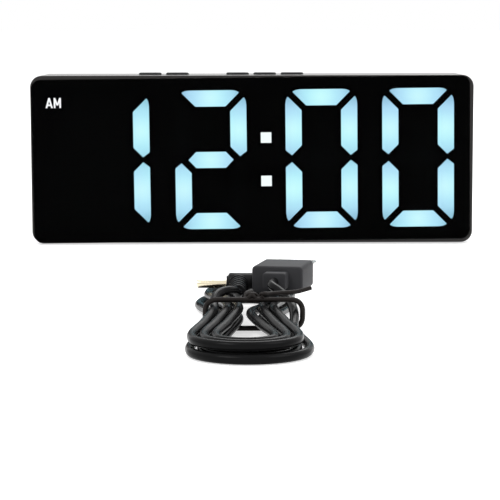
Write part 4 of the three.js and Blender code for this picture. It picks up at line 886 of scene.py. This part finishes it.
# Cells. Three AAA cells in a plain blue-grey shrink sleeve with bright ends, laid head to tail. Each is a
# turned form, and its sleeve and ends are told apart by the distance from its middle.
cell_length, cell_nub, sleeve_lap = 43.3, 1.2, 0.4
cell_depth, cell_heights = 22.75, (16.65, 27.65, 38.65)
half_cell = (cell_length + cell_nub) / 2
cell_profile = [
    (-half_cell, 3.4), (-half_cell, 4.7), (-half_cell + 0.15, 5.05), (-half_cell + 0.5, 5.22),
    (half_cell - cell_nub - 0.5, 5.22), (half_cell - cell_nub - 0.15, 5.05), (half_cell - cell_nub, 4.6),
    (half_cell - cell_nub, 1.9), (half_cell - 0.2, 1.88), (half_cell, 1.7),
]
sleeve = moulded("cell_sleeve", (0.05, 0.16, 0.3), 0.3, mottle=0.04)
nodes, links = sleeve.node_tree.nodes, sleeve.node_tree.links
sleeve_shader = nodes["Principled BSDF"]
split = nodes.new("ShaderNodeSeparateXYZ")
links.new(nodes["Texture Coordinate"].outputs["Object"], split.inputs["Vector"])
length_place = nodes.new("ShaderNodeMath")
length_place.operation = "ABSOLUTE"
links.new(split.outputs["X"], length_place.inputs[0])
end_part = nodes.new("ShaderNodeMath")
end_part.operation = "GREATER_THAN"
end_part.inputs[1].default_value = (half_cell - cell_nub - sleeve_lap) * mm
links.new(length_place.outputs[0], end_part.inputs[0])
bare = nodes.new("ShaderNodeMix")
bare.data_type = "RGBA"
bare.inputs["B"].default_value = (0.7, 0.7, 0.68, 1)
links.new(nodes["Mix"].outputs["Result"], bare.inputs["A"])
links.new(end_part.outputs[0], bare.inputs["Factor"])
links.new(bare.outputs["Result"], sleeve_shader.inputs["Base Color"])
links.new(end_part.outputs[0], sleeve_shader.inputs["Metallic"])
for k, height in enumerate(cell_heights):
    head = 1 if k % 2 == 0 else -1
    rings = along_x(turned_rings([(head * place, radius) for place, radius in cell_profile]))
    cell = make(f"cell_{k + 1}", skin(rings + np.array([0, front_plane + cell_depth, height])))
    dress(cell, sleeve)
    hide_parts(f"battery_cell_{k + 1}")


# Inside of the clock. What the case hides keeps its modelled form and gets the finish of its material:
# printed mask and tape, white light box, green boards, ribbon and leads, sounder and socket.
hidden = {
    ("display_mask", "lens_tape"): moulded("mask_ink", (0.004, 0.004, 0.004), 0.7, mottle=0.1),
    ("light_box",): moulded("box_white", (0.82, 0.82, 0.8), 0.5, mottle=0.02),
    ("led_board", "key_board"): moulded("board_green", (0.012, 0.07, 0.03), 0.35, mottle=0.12, sheen_size=4),
    ("key_ribbon",): moulded("ribbon_white", (0.75, 0.75, 0.73), 0.4),
    ("battery_lead_red", "jack_lead"): moulded("lead_red", (0.42, 0.014, 0.014), 0.4),
    ("battery_lead_black", "buzzer_lead"): moulded("lead_black", (0.01, 0.01, 0.01), 0.4),
    ("dc_jack", "buzzer"): moulded("inner_black", (0.01, 0.01, 0.011), 0.4, grain=0.01),
}
for nodes_of_one, material in hidden.items():
    for node in nodes_of_one:
        refinish(node, material)
plunger_white = moulded("plunger_white", (0.7, 0.7, 0.68), 0.45)
for key in key_places:
    refinish(f"{key}_switch_plunger", plunger_white)


# Studio. A plain pale floor under soft light from above on both sides. The camera, mirrors and glass see a
# white surrounding, and the object itself is lit at a plain level.
floor_reach, floor_drop = 60, 0.1 * mm
floor_whitening, object_surround = 0.6, 0.55
floor_corners = [(x * floor_reach, y * floor_reach, 0) for x, y in ((-1, -1), (1, -1), (1, 1), (-1, 1))]
floor_mesh = bpy.data.meshes.new("floor")
floor_mesh.from_pydata(floor_corners, [], [(0, 1, 2, 3)])
floor = bpy.data.objects.new("floor", floor_mesh)
floor.location.z = -floor_drop
bpy.context.scene.collection.objects.link(floor)


def seen_directly(nodes, links):
    """A factor of 1 on rays from the camera, from mirrors and through glass, and 0 on all others."""
    path = nodes.new("ShaderNodeLightPath")
    total = nodes.new("ShaderNodeMath")
    links.new(path.outputs["Is Camera Ray"], total.inputs[0])
    links.new(path.outputs["Is Glossy Ray"], total.inputs[1])
    both = nodes.new("ShaderNodeMath")
    both.use_clamp = True
    links.new(total.outputs[0], both.inputs[0])
    links.new(path.outputs["Is Transmission Ray"], both.inputs[1])
    return both.outputs[0]


floor_white = bpy.data.materials.new("floor_white")
floor_white.use_nodes = True
nodes, links = floor_white.node_tree.nodes, floor_white.node_tree.links
floor_shader = nodes["Principled BSDF"]
floor_shader.inputs["Base Color"].default_value = (0.8, 0.8, 0.8, 1)
floor_shader.inputs["Roughness"].default_value = 0.9
floor_shader.inputs["Specular IOR Level"].default_value = 0.0
floor_shader.inputs["Emission Color"].default_value = (1, 1, 1, 1)
whitened = nodes.new("ShaderNodeMath")
whitened.operation = "MULTIPLY"
whitened.inputs[1].default_value = floor_whitening
links.new(seen_directly(nodes, links), whitened.inputs[0])
links.new(whitened.outputs[0], floor_shader.inputs["Emission Strength"])
floor_mesh.materials.append(floor_white)

world = bpy.data.worlds.new("studio")
bpy.context.scene.world = world
world.use_nodes = True
nodes, links = world.node_tree.nodes, world.node_tree.links
ambient = nodes["Background"]
ambient.inputs["Color"].default_value = (1, 1, 1, 1)
surround = nodes.new("ShaderNodeMapRange")
surround.inputs["To Min"].default_value = object_surround
surround.inputs["To Max"].default_value = 1.0
links.new(seen_directly(nodes, links), surround.inputs["Value"])
links.new(surround.outputs["Result"], ambient.inputs["Strength"])


def softbox(name, place, aim, size, power):
    """A square soft light that shines from a place towards an aim, in metres."""
    lamp = bpy.data.lights.new(name, "AREA")
    lamp.shape = "SQUARE"
    lamp.size = size
    lamp.energy = power
    holder = bpy.data.objects.new(name, lamp)
    holder.location = place
    holder.rotation_euler = (Vector(aim) - Vector(place)).to_track_quat("-Z", "Y").to_euler()
    bpy.context.scene.collection.objects.link(holder)


softbox("key_light", (-0.9, -0.9, 1.5), aim=(0, -0.05, 0), size=0.8, power=14)
softbox("fill_light", (1.1, -0.5, 1.3), aim=(0, -0.05, 0), size=1, power=9)
softbox("back_light", (0.2, 1.3, 1.2), aim=(0, 0, 0), size=0.9, power=9)
